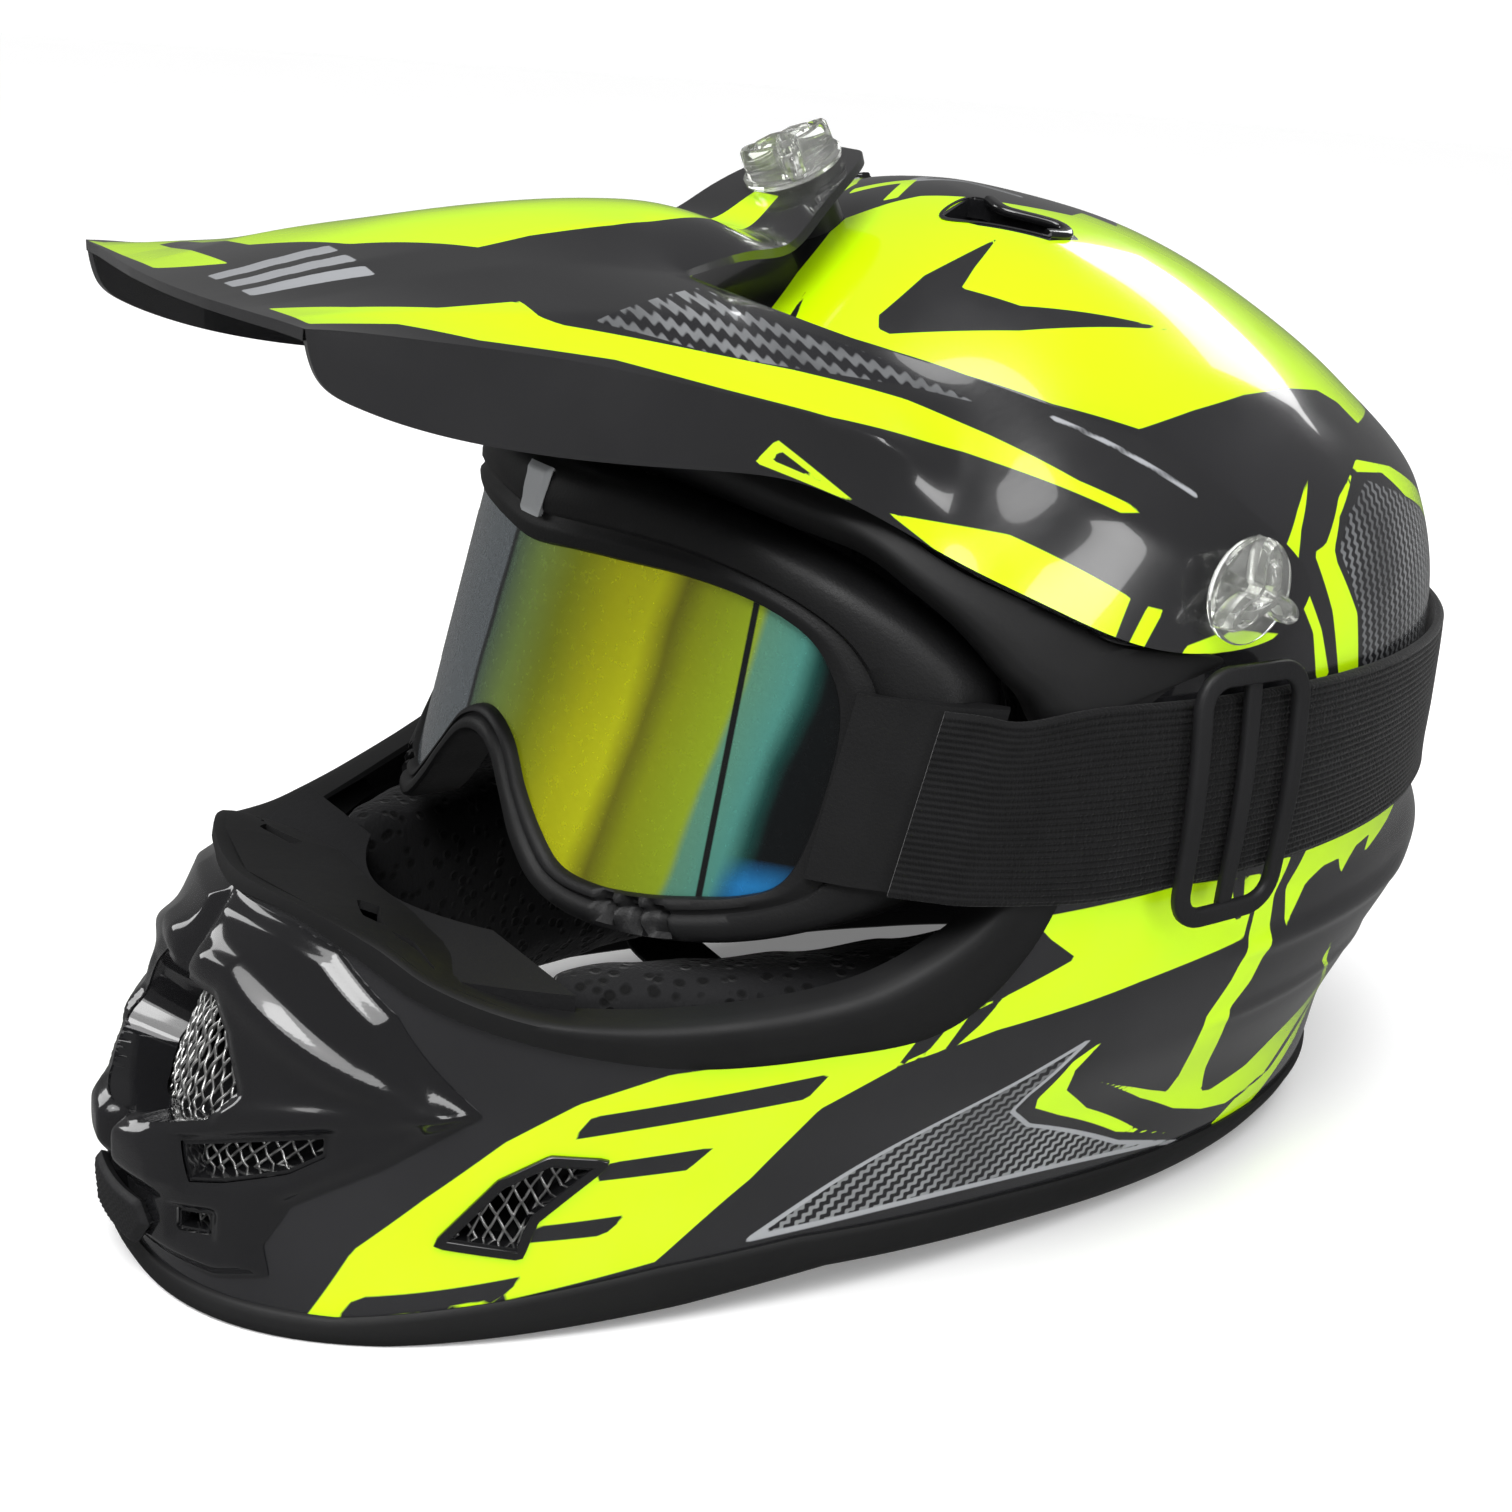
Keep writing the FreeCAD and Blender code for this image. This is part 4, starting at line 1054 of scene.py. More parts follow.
BROW_RIDGE = ((0, 77), (16, 76), (30, 70), (47, 62), (64, 56))
WING_RIDGE = ((0, 41), (14, 44), (27, 49), (46, 53), (63, 56))
BEAK = ((-1, 41), (13, 42), (19, 39), (21, 31), (17, 27), (-1, 27))


def mouthpiece_lift(places):
    """Relief of the chin moulding: ridges, a beak under the centre window, sunk rims."""
    edge = -distance(places, MOUTHPIECE)
    lift = 0.4 + 2.6 * smooth_step(edge, 0.0, 4.5)
    lift += 2.6 * np.exp(-(line_distance(places, BROW_RIDGE) / 3.6) ** 2) * smooth_step(edge, 0, 9)
    lift += 1.8 * np.exp(-(line_distance(places, WING_RIDGE) / 3.0) ** 2) * smooth_step(edge, 0, 9)
    lift += 3.4 * smooth_step(-distance(places, BEAK), -2.0, 5.0)
    for outline in CHIN_OPENINGS:
        lift -= 1.6 * (1 - smooth_step(distance(places, outline), 0.0, 2.2))
    return lift


def half_window(outline):
    """A window's outline; one that meets the middle line runs on past it."""
    return [(x - 2 if x == 0 else x, z) for x, z in outline]


def build_mouthpiece():
    flat, faces = flat_grid(68, 8.5, 92.5, 0.8)
    shape = half_window(MOUTHPIECE)
    flat, faces = clip(flat, faces, -distance(np.abs(flat[:, [0, 2]]), shape))
    for outline in CHIN_OPENINGS:
        flat, faces = clip(flat, faces, distance(np.abs(flat[:, [0, 2]]), half_window(outline)))
    places = np.abs(flat[:, [0, 2]])
    points = front_points(flat[:, 0], flat[:, 2], mouthpiece_lift(places))
    make_piece("chin_vent_moulding", (points, faces), GLOSS_BLACK, "helmet", "mouthpiece",
               wall=3.0, sharp=70)
    wells = [front_well(CHIN_CENTRE, 13.0)]
    for outline, depth in ((CHIN_SLOT, 9.0), (CHIN_LOW_WINDOW, 6.0)):
        well = front_well(outline, depth)
        wells += [well, (flipped(well[0]), well[1])]
    make_piece("chin_window_walls", joined(wells), GLOSS_BLACK, "helmet", wall=1.0)


def front_well(outline, depth):
    """Walls of a window in the chin moulding, going in from its rim."""
    loop = resample(np.vstack([outline, outline[:1]]), 80, True)
    rim = mouthpiece_lift(np.abs(loop))
    middle = loop.mean(axis=0)
    rows = []
    for share in (0.0, 0.25, 0.6, 1.0):
        inner = middle + (loop - middle) * (1 - 0.10 * share)
        rows.append(front_points(inner[:, 0], inner[:, 1], rim - 0.6 - depth * share))
    return sheet(rows, True)


def wire_net(outline, surface, pitch, slope, radius=0.38):
    """A net of crossing wires cut to an outline; surface maps flat places to points."""
    outline = np.asarray(outline, float)
    low, high = outline.min(axis=0) - 4, outline.max(axis=0) + 4
    span = float(np.linalg.norm(high - low))
    middle = (low + high) / 2
    parts = []
    for turn in (slope, -slope):
        ahead = np.array([math.cos(turn), math.sin(turn)])
        across = np.array([-ahead[1], ahead[0]])
        count = int(span / pitch / 2) + 1
        for k in range(-count, count + 1):
            t = np.arange(-span / 2, span / 2, 0.9)
            line = middle + across * k * pitch + ahead * t[:, None]
            inside = distance(line, outline) < 0.6
            runs = np.split(np.arange(len(t)), np.flatnonzero(np.diff(inside.astype(int))) + 1)
            for run in runs:
                if len(run) < 3 or not inside[run[0]]:
                    continue
                points, normals = surface(line[run])
                weave = 0.35 * np.sin(t[run] * math.pi / pitch + k * math.pi)
                if turn < 0:
                    weave = -weave
                parts.append(tube(points + normals * weave[:, None], normals,
                                  round_section(radius, 6)))
    return joined(parts)


def view_surface(view, lift):
    """A function from flat places of the front, side or rear view to points and normals."""
    def place(flat):
        across, z = flat[:, 0], flat[:, 1]
        if view == "front":
            points = np.stack([across, front_y(across, z), z], 1)
        elif view == "side":
            points = np.stack([shell_x(across, z), across, z], 1)
        else:
            _, rear, half, widest, _, n_rear = section_at(z)
            part = np.minimum(np.abs(across) / half, 1)
            y = widest + (rear - widest) * (1 - part ** n_rear) ** (1 / n_rear)
            points = np.stack([across, y, z], 1)
        normals = shell_normals(points)
        points = points + normals * lift
        return points, shell_normals(points) if view == "front" else normals
    return place


def make_net(name, shape, node):
    make_piece(name, shape, WIRE, "helmet", node, sharp=0)


def build_nets():
    centre = wire_net(CHIN_CENTRE, view_surface("front", -11.5), 3.1, math.radians(62))
    make_net("chin_centre_wire_net", centre, "chin_mesh_centre")
    slot = wire_net(CHIN_SLOT, view_surface("front", -4.2), 2.6, math.radians(58))
    low = wire_net(CHIN_LOW_WINDOW, view_surface("front", -3.2), 2.2, math.radians(58), 0.3)
    make_net("chin_side_wire_nets", both_sides(joined([slot, low])), "chin_mesh_sides")
    net = wire_net(SIDE_VENT, view_surface("side", -2.4), 3.0, math.radians(64))
    loop = resample(np.vstack([SIDE_VENT, SIDE_VENT[:1]]), 90, True)
    bezel = tube(*view_surface("side", 0.2)(loop), rounded(2.4, 1.8, 0.6), True)
    inside = loop.mean(axis=0) + (loop - loop.mean(axis=0)) * 0.93
    well = sheet([view_surface("side", lift)(inside)[0] for lift in (0.4, -2.0, -6.5)], True)
    for label, sign in SIDES:
        make_net("side_vent_net_" + label, on_side(net, sign), "side_vent_mesh_" + label)
        make_piece("side_vent_bezel_" + label, on_side(bezel, sign), GLOSS_BLACK, "helmet")
        make_piece("side_vent_walls_" + label, on_side(well, sign), GLOSS_BLACK, "helmet",
                   wall=0.9)
    cover = ((14, 61), (46, 61), (46, 73), (14, 73))
    rear = wire_net(cover, view_surface("rear", -2.2), 3.0, math.radians(60))
    make_net("rear_vent_net", both_sides(rear), "rear_vent_mesh")


def build_breath_guard():
    """Rubber shelf inside the chin bar, with two slots on each side."""
    inner = eyeport_curves()[1]
    edge = even_spline(inner[:8], 14)[14:-14]
    start = inner[0]
    half = np.vstack([start, resample(np.vstack([start, edge]), 150)[1:]])
    reach = np.interp(half[:, 0], (0, 25, 60, 95), (30, 27, 16, 5))
    drop = np.interp(half[:, 0], (0, 40, 95), (7, 9, 6))
    away = unit((CENTRE - half) * [1, 1, 0])
    shares = np.linspace(0, 1, 26)
    rows = []
    for share in shares:
        sink = -2.0 - drop * share ** 1.3
        rows.append(half + away * (reach * share)[:, None] + sink[:, None] * [0, 0, 1.0])
    points, faces = sheet(rows)
    place = np.stack([np.tile(half[:, 0], len(rows)), np.repeat(shares, len(half)) * 28], 1)
    for slot in (((20, 15), (31, 9), (36, 11), (24, 19)), ((38, 10), (48, 5), (52, 7), (42, 13))):
        stacked, faces = clip(np.hstack([points, place]), faces, distance(place, slot))
        points, place = stacked[:, :3], stacked[:, 3:]
    make_piece("breath_guard_shelf", both_sides((points, faces)), RUBBER, "helmet",
               "breath_guard", wall=2.0)


def build_vent_slider():
    """Textured tab that closes the lower chin vent."""
    outline = ((-12, 23.5), (12, 23.5), (15, 18), (10.5, 10.5), (-10.5, 10.5), (-15, 18))
    flat, faces = flat_grid(17, 8, 26, 0.6)
    flat, faces = clip(flat, faces, -distance(flat[:, [0, 2]], outline))
    inset = -distance(flat[:, [0, 2]], outline)
    ribs = 0.25 * np.sin(flat[:, 0] * 3.2) * np.sin(flat[:, 2] * 3.2) * smooth_step(inset, 1.2, 2)
    lift = 4.6 + 1.6 * smooth_step(inset, 0, 1.5) + ribs
    points = front_points(flat[:, 0], flat[:, 2], lift)
    make_piece("chin_vent_slider_tab", (points, faces), MATTE_BLACK, "chin_vent_slider",
               "chin_vent_slider", wall=2.0)


def build_crown_vents():
    """Recess walls and a small hood at each crown vent."""
    loop = spline(CROWN_VENT, 80, True)
    recess = sheet([on_shell(loop, lift) for lift in (0.3, -2.5, -9.0)], True)
    base = on_shell(spline(CROWN_VENT[2:7], 40), 0.4)
    hood = tube(base, shell_normals(base), rounded(3.2, 2.2, 0.9))
    for label, sign in SIDES:
        make_piece("crown_vent_walls_" + label, on_side(recess, sign), GLOSS_BLACK, "helmet",
                   wall=0.8)
        make_piece("crown_vent_lip_" + label, on_side(hood, sign), GLOSS_BLACK, "helmet",
                   "crown_vent_hood_" + label)


# ------------------------------------------------------------------ peak

ARM_OFF = 6.4                       # how far the side arms stand off the shell
# Rows run from the middle of the peak out to its lower edge, front row first.
PEAK_ROWS = (
    ((0, -217, 229.5), (22, -216, 229.7), (36, -214.5, 229.8), (50, -213, 230),
     (61, -212, 230), (61.5, -210.5, 219.5)),
    ((0, -206, 232), (24, -205, 231.5), (37, -204.5, 230.8), (50, -204, 230.8),
     (62, -203.5, 229.6), (63, -203, 215)),
    ((0, -186, 238.5), (23, -186, 237), (36, -185, 234), (51, -184, 231.5),
     (64, -184, 227), (63.5, -184, 208)),
    ((0, -158, 245.5), (22, -157, 240.5), (34.5, -156, 238), (55, -154, 230.5),
     (66.5, -154, 223), (68, -154, 202.5)),
    ((0, -130, 248), (20, -129, 243.5), (34, -127, 236.8), (57, -126, 230),
     (72, -125, 216.5), (72.5, -124, 200)),
    ((0, -110, 248), (18, -110, 245), (33, -111, 235), (54, -104, 230),
     (80, -107, 213), (77.5, -107, 198.5)),
)


def arm_point(y, z, extra=0.0):
    """A point of a side arm, beside the shell."""
    return (float(shell_x([y], [z])[0]) + ARM_OFF + extra, y, z)


# Arm rows: upper edge, crease, lower edge, from the hood back to the side screw.
ARM_ROWS = (
    ((68, -84, 224), (91, -90, 207), arm_point(-91, 191, 1.5)),
    ((82, -66, 219.5), arm_point(-74, 201), arm_point(-80, 183, 1.0)),
    ((94, -50, 213.5), arm_point(-56, 195), arm_point(-66, 176.5)),
    ((103.5, -32, 209), arm_point(-38, 190), arm_point(-50, 168.5)),
    (arm_point(-14, 197), arm_point(-20, 182), arm_point(-32, 163.5, -1.2)),
    (arm_point(2, 184), arm_point(-4, 175), arm_point(-8, 163, -2.0)),
    (arm_point(6, 178), arm_point(6, 175), arm_point(4, 168, -1.6)),
)
# Tongue: y, half width and height; below the hood it is an arc about the tilt axis.
TONGUE_ROWS = ((-90, 30, 246), (-78, 27.5, None), (-69, 24, None), (-60, 20, None),
               (-51, 15, None), (-44, 9, None))
# How sharp the fold is along each column of PEAK_ROWS.
PEAK_CREASES = (0.0, 0.9, 0.95, 0.6, 1.0, 0.0)

# Graphics of the peak, as points near its upper side.
PEAK_YELLOW = (
    ((39, -210, 230), (46, -196, 231), (51, -179, 232), (49, -160, 232), (55, -159, 230),
     (58, -155, 229), (64, -127, 224), (70, -105, 220), (78, -82, 214), (89, -66, 208),
     (103, -51, 200), (112, -38, 194), (110, -44, 194), (100, -56, 199), (86, -72, 204),
     (81, -103, 212), (72, -124, 217), (66, -147, 223), (62, -176, 227), (57, -191, 230),
     (56, -209, 230)),
    ((92, -90, 192), (99, -68, 189), (117, -45, 177), (119, -50, 168.5), (108, -70, 177),
     (100, -80, 182)),
    ((119, -41, 175), (120, -37, 174), (121, -43, 166), (119, -47, 167)),
    ((124, -31, 165.5), (124, -18, 168.5), (124, -3, 166), (124, -10, 161), (124, -34, 161)),
)
PEAK_TRIANGLE_HOLE = ((77, -112, 204.6), (76, -113.5, 202.4), (79.5, -103, 198))
PEAK_TRIANGLE = ((77, -113, 207), (75.5, -117, 202), (82, -95, 193))
PEAK_CENTRE_YELLOW = (
    ((5, -66, 249), (13, -88, 247), (20, -121, 244), (22, -143, 242), (25, -157, 240),
     (11, -180, 239), (-12, -193, 236), (-46, -194, 231), (-38, -180, 233), (-25, -157, 240),
     (-22, -143, 242), (-20, -121, 244), (-13, -88, 247), (-5, -66, 249)),
    ((-61, -212, 231), (-46, -201, 231), (-1, -202, 233), (-15, -213, 231)),
)
PEAK_CARBON = ((42, -112, 233), (57, -147, 229), (66, -121, 223), (75, -80, 216), (84, -67, 214),
               (73, -79, 220), (55, -103, 229))
PEAK_SILVER_LINE = ((94, -52, 212), (100, -43, 208), (112, -24, 197))
# Plain slanted bars on the front of the peak.
PEAK_BARS = tuple(((4 + 9 * k, -208, 231), (9 + 9 * k, -208, 231), (13 + 9 * k, -184, 236),
                   (8 + 9 * k, -184, 236)) for k in range(3))


def peak_chart(points):
    """Flat map of the peak: turn about a lengthwise axis, and y."""
    points = np.asarray(points, float)
    return np.stack([np.arctan2(points[:, 2] - 190, points[:, 0]) * 90, points[:, 1]], 1)


def peak_paint(points):
    """Signed distances from the peak's graphics."""
    both = peak_chart(left_half(points))
    once = peak_chart(points)
    yellow = np.min([distance(both, peak_chart(shape)) for shape in PEAK_YELLOW], axis=0)
    hole = distance(both, peak_chart(PEAK_TRIANGLE_HOLE))
    triangle = np.maximum(distance(both, peak_chart(PEAK_TRIANGLE)), -hole)
    yellow = np.minimum(yellow, triangle)
    for shape in PEAK_CENTRE_YELLOW:
        yellow = np.minimum(yellow, distance(once, peak_chart(shape)))
    carbon = distance(both, peak_chart(PEAK_CARBON))
    silver = line_distance(both, peak_chart(PEAK_SILVER_LINE)) + 0.1
    for bar in PEAK_BARS:
        silver = np.minimum(silver, np.maximum(distance(once, peak_chart(bar)), 0))
    return {"yellow": yellow, "carbon": carbon, "silver": silver}


def tongue_height(y):
    """Height of the tongue at y."""
    return PIVOT[2] + math.sqrt(TONGUE_R ** 2 - (y - PIVOT[1]) ** 2)


def peak_cage():
    """Quads of the peak's left half, and how sharp each drawn edge line is."""
    quads = []
    lines = {}

    def crease(a, b, amount):
        lines[frozenset((a, b))] = amount

    def strip(row, after):
        for i in range(len(row) - 1):
            quads.append((row[i], row[i + 1], after[i + 1], after[i]))

    for row, after in zip(PEAK_ROWS, PEAK_ROWS[1:]):
        strip(row, after)
        for i, amount in enumerate(PEAK_CREASES):
            crease(row[i], after[i], amount)
    last = PEAK_ROWS[-1]
    first = ARM_ROWS[0]
    strip(last[3:], first)
    quads.append((last[2], last[3], first[0]))
    crease(last[4], first[1], 0.8)
    crease(last[2], last[3], 0.6)
    for row, after in zip(ARM_ROWS, ARM_ROWS[1:]):
        strip(row, after)
        crease(row[1], after[1], 0.5)
    rows = []
    for y, half, z in TONGUE_ROWS:
        top = z or tongue_height(y)
        side = z - 6 if z else top
        rows.append(((0, y, top), (half * 0.5, y, top), (half, y, side)))
    strip(last[:3], rows[0])
    for row, after in zip(rows, rows[1:]):
        strip(row, after)
    return quads, lines


def build_peak():
    quads, lines = peak_cage()
    index = {}
    points = []
    faces = []

    def corner(p):
        key = tuple(round(v, 3) for v in p)
        if key not in index:
            index[key] = len(points)
            points.append(key)
        return index[key]

    for sign in (1, -1):
        for quad in quads:
            ring = [corner((sign * p[0] + 0.0, p[1], p[2])) for p in quad]
            faces.append(ring if sign > 0 else ring[::-1])
    sharp = {}
    for pair, amount in lines.items():
        a, b = tuple(pair)
        for sign in (1, -1):
            ends = [(sign * p[0] / 1000 + 0.0, (p[1] + HEAD_Y) / 1000, p[2] / 1000)
                    for p in (a, b)]
            key = frozenset(tuple(round(v, 4) + 0.0 for v in end) for end in ends)
            sharp[key] = amount

    def crease_of(edge):
        key = frozenset(tuple(round(v, 4) + 0.0 for v in vert.co) for vert in edge.verts)
        return sharp.get(key, 0.0)

    make_piece("peak_visor", (points, faces), PEAK_PAINT, "peak", "peak", wall=2.3, levels=4,
               sharp=26, fields=peak_paint, creases=crease_of)


def axis_frame(kind):
    """Origin and axes of a thumb screw: out along its axis, and two across."""
    if kind == "top":
        out = np.array([0, -math.sin(TOP_ANGLE), math.cos(TOP_ANGLE)])
        across = np.array([1.0, 0, 0])
    else:
        out = np.array([1.0 if kind == "left" else -1.0, 0, 0])
        across = np.array([0, 1.0, 0])
    return out, across, np.cross(out, across)


def lathe(kind, base, rows, lobed=0, lobes=0.0, sides=96):
    """Rings (height over the base, radius) joined into a closed shape, round or three-lobed."""
    out, across, other = axis_frame(kind)
    turns = np.linspace(0, 2 * math.pi, sides, endpoint=False)
    rings = []
    for height, radius in rows:
        star = (0.5 + 0.5 * np.cos(3 * turns + lobes)) ** 2.4
        reach = radius * (1 - lobed + lobed * (0.27 + 0.73 * star))
        ring = (PIVOT + out * (base + height) + across * (reach * np.cos(turns))[:, None]
                + other * (reach * np.sin(turns))[:, None])
        rings.append(ring)
    return np.vstack(rings), capped_faces(len(rows), sides)


# Thumb screws: height over the mounting face and radius, for the flange and the head.
SCREW_FLANGE = ((0.0, 2.4), (0.05, 11.6), (0.4, 12.3), (1.7, 12.4), (2.3, 11.9), (2.4, 11.0),
                (2.0, 9.8), (1.9, 6.0))
SCREW_STAR = ((1.6, 12.9), (6.4, 12.6), (7.2, 11.9), (7.3, 10.6), (6.5, 10.0), (6.6, 8.6),
              (8.3, 7.6), (9.4, 3.8), (9.7, 1.4))


def build_screws():
    """Clear thumb screws: a shank under a round flange, and a three-winged head on it."""
    for kind, face, shank in (("left", 124.8, 14.5), ("right", 124.8, 14.5),
                              ("top", TONGUE_R + 0.9, 20.0)):
        flange = lathe(kind, face, ((-shank, 2.2),) + SCREW_FLANGE)
        star = lathe(kind, face, SCREW_STAR, 1, math.radians(90))
        make_piece("thumb_screw_" + kind, joined([flange, star]), CLEAR,
                   "peak_screw_" + kind, "peak_screw_" + kind, sharp=32)


# ------------------------------------------------------------------ goggles

GOGGLE_Z = 124.0
GOGGLE_LEAN = 0.25
# Front view (x, z): the outside of the frame, and the edge of its lens.
GOGGLE_RING = (
    ((0, 187), (0, 168)), ((18, 187), (17, 169.4)), ((32, 187), (30, 170)),
    ((52, 184), (48, 170)), ((70, 178), (63, 167.5)), ((84, 171), (74, 162.5)),
    ((94, 164), (80, 156)), ((101, 155), (84, 147)), ((103, 140), (85.5, 135)),
    ((103, 118), (85, 117)), ((100, 107), (82.5, 107)), ((92, 99), (76, 102.5)),
    ((78, 92), (67, 100)), ((62, 89), (57, 98)), ((45, 89), (46, 97.2)), ((32, 93), (36, 99)),
    ((22, 101), (28, 105)), ((14, 111), (20, 113)), ((7, 118), (11, 123)), ((0, 120), (0, 127)),
)


def goggle_points(x, z, offset):
    """Points of the goggles' curved front at places of the front view, set back by the offset."""
    y = -139.0 + 0.0052 * x * x + GOGGLE_LEAN * (z - GOGGLE_Z) + offset
    return np.stack([x, y, z], 1)


def goggle_rings():
    """The frame's outer and inner outline as closed rings with matching points."""
    rings = []
    for k in (0, 1):
        half = np.array([pair[k] for pair in GOGGLE_RING], float)
        half = np.stack([half[:, 0], np.zeros(len(half)), half[:, 1]], 1)
        rings.append(whole_ring(even_spline(half, 22))[:, [0, 2]])
    return rings


def build_goggle_frame():
    outer, inner = goggle_rings()
    # how far across from the lens edge to the outside, and how far set back
    profile = ((-0.02, 4.0), (-0.01, 1.2), (0.03, 0.2), (0.16, -0.5), (0.24, -0.5), (0.30, 0.2),
               (0.36, 0.3), (0.44, -1.0), (0.60, -1.5), (0.80, -1.3), (0.92, -0.5), (0.98, 1.0),
               (1.00, 3.0), (1.00, 12.0), (0.97, 13.8), (0.20, 13.8), (0.00, 13.0),
               (-0.02, 8.0))
    notches = [((48 + 6 * k, 97), (51.5 + 6 * k, 97), (55 + 6 * k, 90.5), (50 + 6 * k, 90.5))
               for k in range(3)]
    rings = []
    for share, offset in profile:
        flat = inner * (1 - share) + outer * share
        sink = np.zeros(len(flat))
        if offset < 2.0:
            places = np.abs(flat * [1, 0]) + flat * [0, 1]
            for notch in notches:
                sink += 2.4 * smooth_step(-distance(places, notch), -0.6, 0.8)
        rings.append(goggle_points(flat[:, 0], flat[:, 1], offset + sink))
    make_piece("goggle_frame_moulded", sheet(rings + rings[:1], True), FRAME_BLACK, "goggles",
               "goggle_frame", sharp=38)


def lens_paint(points):
    """Where a point of the lens is across and up it, and its distance from the dark seam."""
    x, z = points[:, 0], points[:, 2]
    shift = (z - 135) * 0.08
    return {"across": (x - shift + 90) / 180, "height": (z - 94) / 78,
            "seam": x - (68 - (z - 99) * 0.07)}


def build_goggle_lens():
    outer, inner = goggle_rings()
    rim = inner + (outer - inner) * 0.07
    flat, faces = flat_grid(90, 94, 173, 1.5)
    flat, faces = clip(flat, faces, -distance(flat[:, [0, 2]], rim[::6]))
    points = goggle_points(flat[:, 0], flat[:, 2], 2.2)
    make_piece("goggle_mirror_lens", (points, faces), LENS, "goggles", "goggle_lens", wall=1.2,
               fields=lens_paint)


def build_goggle_clip():
    """Small grey nub at the top of the frame."""
    flat, faces = flat_grid(10, 172, 187.01, 0.7)
    shape = ((-5.5, 186), (5.5, 186), (4.0, 174), (-4.0, 174))
    flat, faces = clip(flat, faces, -distance(flat[:, [0, 2]], shape))
    inset = -distance(flat[:, [0, 2]], shape)
    points = goggle_points(flat[:, 0], flat[:, 2], -1.6 - 1.2 * smooth_step(inset, 0, 1.2))
    make_piece("goggle_top_nub", (points, faces), CLIP_GREY, "goggles", "goggle_top_clip",
               wall=1.6)


STRAP_LOW = 108.0                   # heights of the strap's edges
STRAP_HIGH = 152.5
STRAP_INNER = 1.9                   # how far its faces are from the shell
STRAP_OUTER = 4.1
RIB_PITCH = 1.55
STRAP_MIDDLE = 130.0


def strap_columns(height, lift):
    """One line of the strap's left half at a height and lift, from the goggles to the rear."""
    turns = np.linspace(math.radians(70.5), math.pi, 110)
    ring, _ = ring_points(turns, np.full(len(turns), height))
    run = ring + shell_normals(ring) * lift
    lean = GOGGLE_LEAN * (height - STRAP_MIDDLE)
    squeeze = STRAP_MIDDLE + (height - STRAP_MIDDLE) * 0.93
    lead = np.array([(101.5 + lift * 0.6, -86 + lean - lift * 0.5, squeeze),
                     (107.0 + lift * 0.7, -80 + lean - lift * 0.5, squeeze),
                     (113.5 + lift * 0.8, -74 + lean * 0.8, squeeze)])
    knots = np.vstack([lead, run[2::12], run[-1:]])
    return spline(knots, 150)


def build_strap():
    width = STRAP_HIGH - STRAP_LOW
    count = 170
    rows = []
    for k in range(count + 1):
        share = k / count
        rib = 0.22 * math.cos(2 * math.pi * share * width / RIB_PITCH)
        edge = min(share, 1 - share) * width
        round_off = 0.9 * (1 - min(edge / 0.8, 1.0)) ** 2
        rows.append((STRAP_LOW + share * width, STRAP_OUTER + rib - round_off))
    rows += [(STRAP_HIGH, STRAP_INNER + 0.2), (STRAP_HIGH - 1, STRAP_INNER),
             (STRAP_LOW + 1, STRAP_INNER), (STRAP_LOW, STRAP_INNER + 0.2)]
    lines = [strap_columns(height, lift) for height, lift in rows]
    whole = [np.vstack([line, flipped(line[:-1])[::-1]]) for line in lines]
    grid = np.array(whole).transpose(1, 0, 2)
    shape = (grid.reshape(-1, 3), capped_faces(*grid.shape[:2]))
    strap = make_piece("goggle_elastic_strap", shape, ELASTIC, None, "goggle_strap", sharp=60)
    start, end = scene_points(np.array([[0, -30.0, STRAP_MIDDLE], [0, -80.0, STRAP_MIDDLE]]))
    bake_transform(strap, "helmet", "goggles", start=tuple(start), end=tuple(end))


def build_buckles():
    """Sliders of the strap: a frame with rounded corners and a bar down its middle."""
    low_y, high_y, low_z, high_z = -27.0, 3.0, 101.0, 158.0
    corner = 7.0
    loop = []
    for k in range(4):
        y_sign = 1 if k in (0, 3) else -1
        z_sign = 1 if k < 2 else -1
        y = (high_y if y_sign > 0 else low_y) - y_sign * corner
        z = (high_z if z_sign > 0 else low_z) - z_sign * corner
        for step in range(7):
            angle = math.radians(90 * k + 15 * step)
            loop.append((y + corner * math.cos(angle), z + corner * math.sin(angle)))
    loop = resample(np.vstack([loop, loop[:1]]), 120, True)
    rim = tube(*view_surface("side", 7.3)(loop), rounded(4.8, 2.6, 1.0), True)
    line = np.stack([np.full(60, -12.0), np.linspace(low_z + 2, high_z - 2, 60)], 1)
    bar = tube(*view_surface("side", 6.6)(line), rounded(4.6, 2.2, 0.8))
    shape = joined([rim, bar])
    for label, sign in SIDES:
        make_piece("strap_adjuster_" + label, on_side(shape, sign), MATTE_BLACK,
                   "strap_buckle_" + label, "strap_buckle_" + label, sharp=45)


# ------------------------------------------------------------------ soft parts


def soft_pad(node, name, material, voxel, swell=0.0):
    """A rounded fabric pad made from a CAD pad: remeshed, relaxed, swollen where swell is given, and
    smoothed.
    """
    source = frame["nodes"][node]
    pad = add_object(name, source.data.copy())
    pad.matrix_world = source.matrix_world.copy()
    remesh = pad.modifiers.new("cells", "REMESH")
    remesh.mode = "VOXEL"
    remesh.voxel_size = voxel / 1000
    relax = pad.modifiers.new("relax", "SMOOTH")
    relax.iterations = 12
    relax.factor = 0.6
    apply_modifiers(pad)
    if swell:
        inflate(pad, swell)
    subdivide(pad, 1)
    body = body_of(source)
    dress(pad, material, body if isinstance(body, str) else "helmet", node)


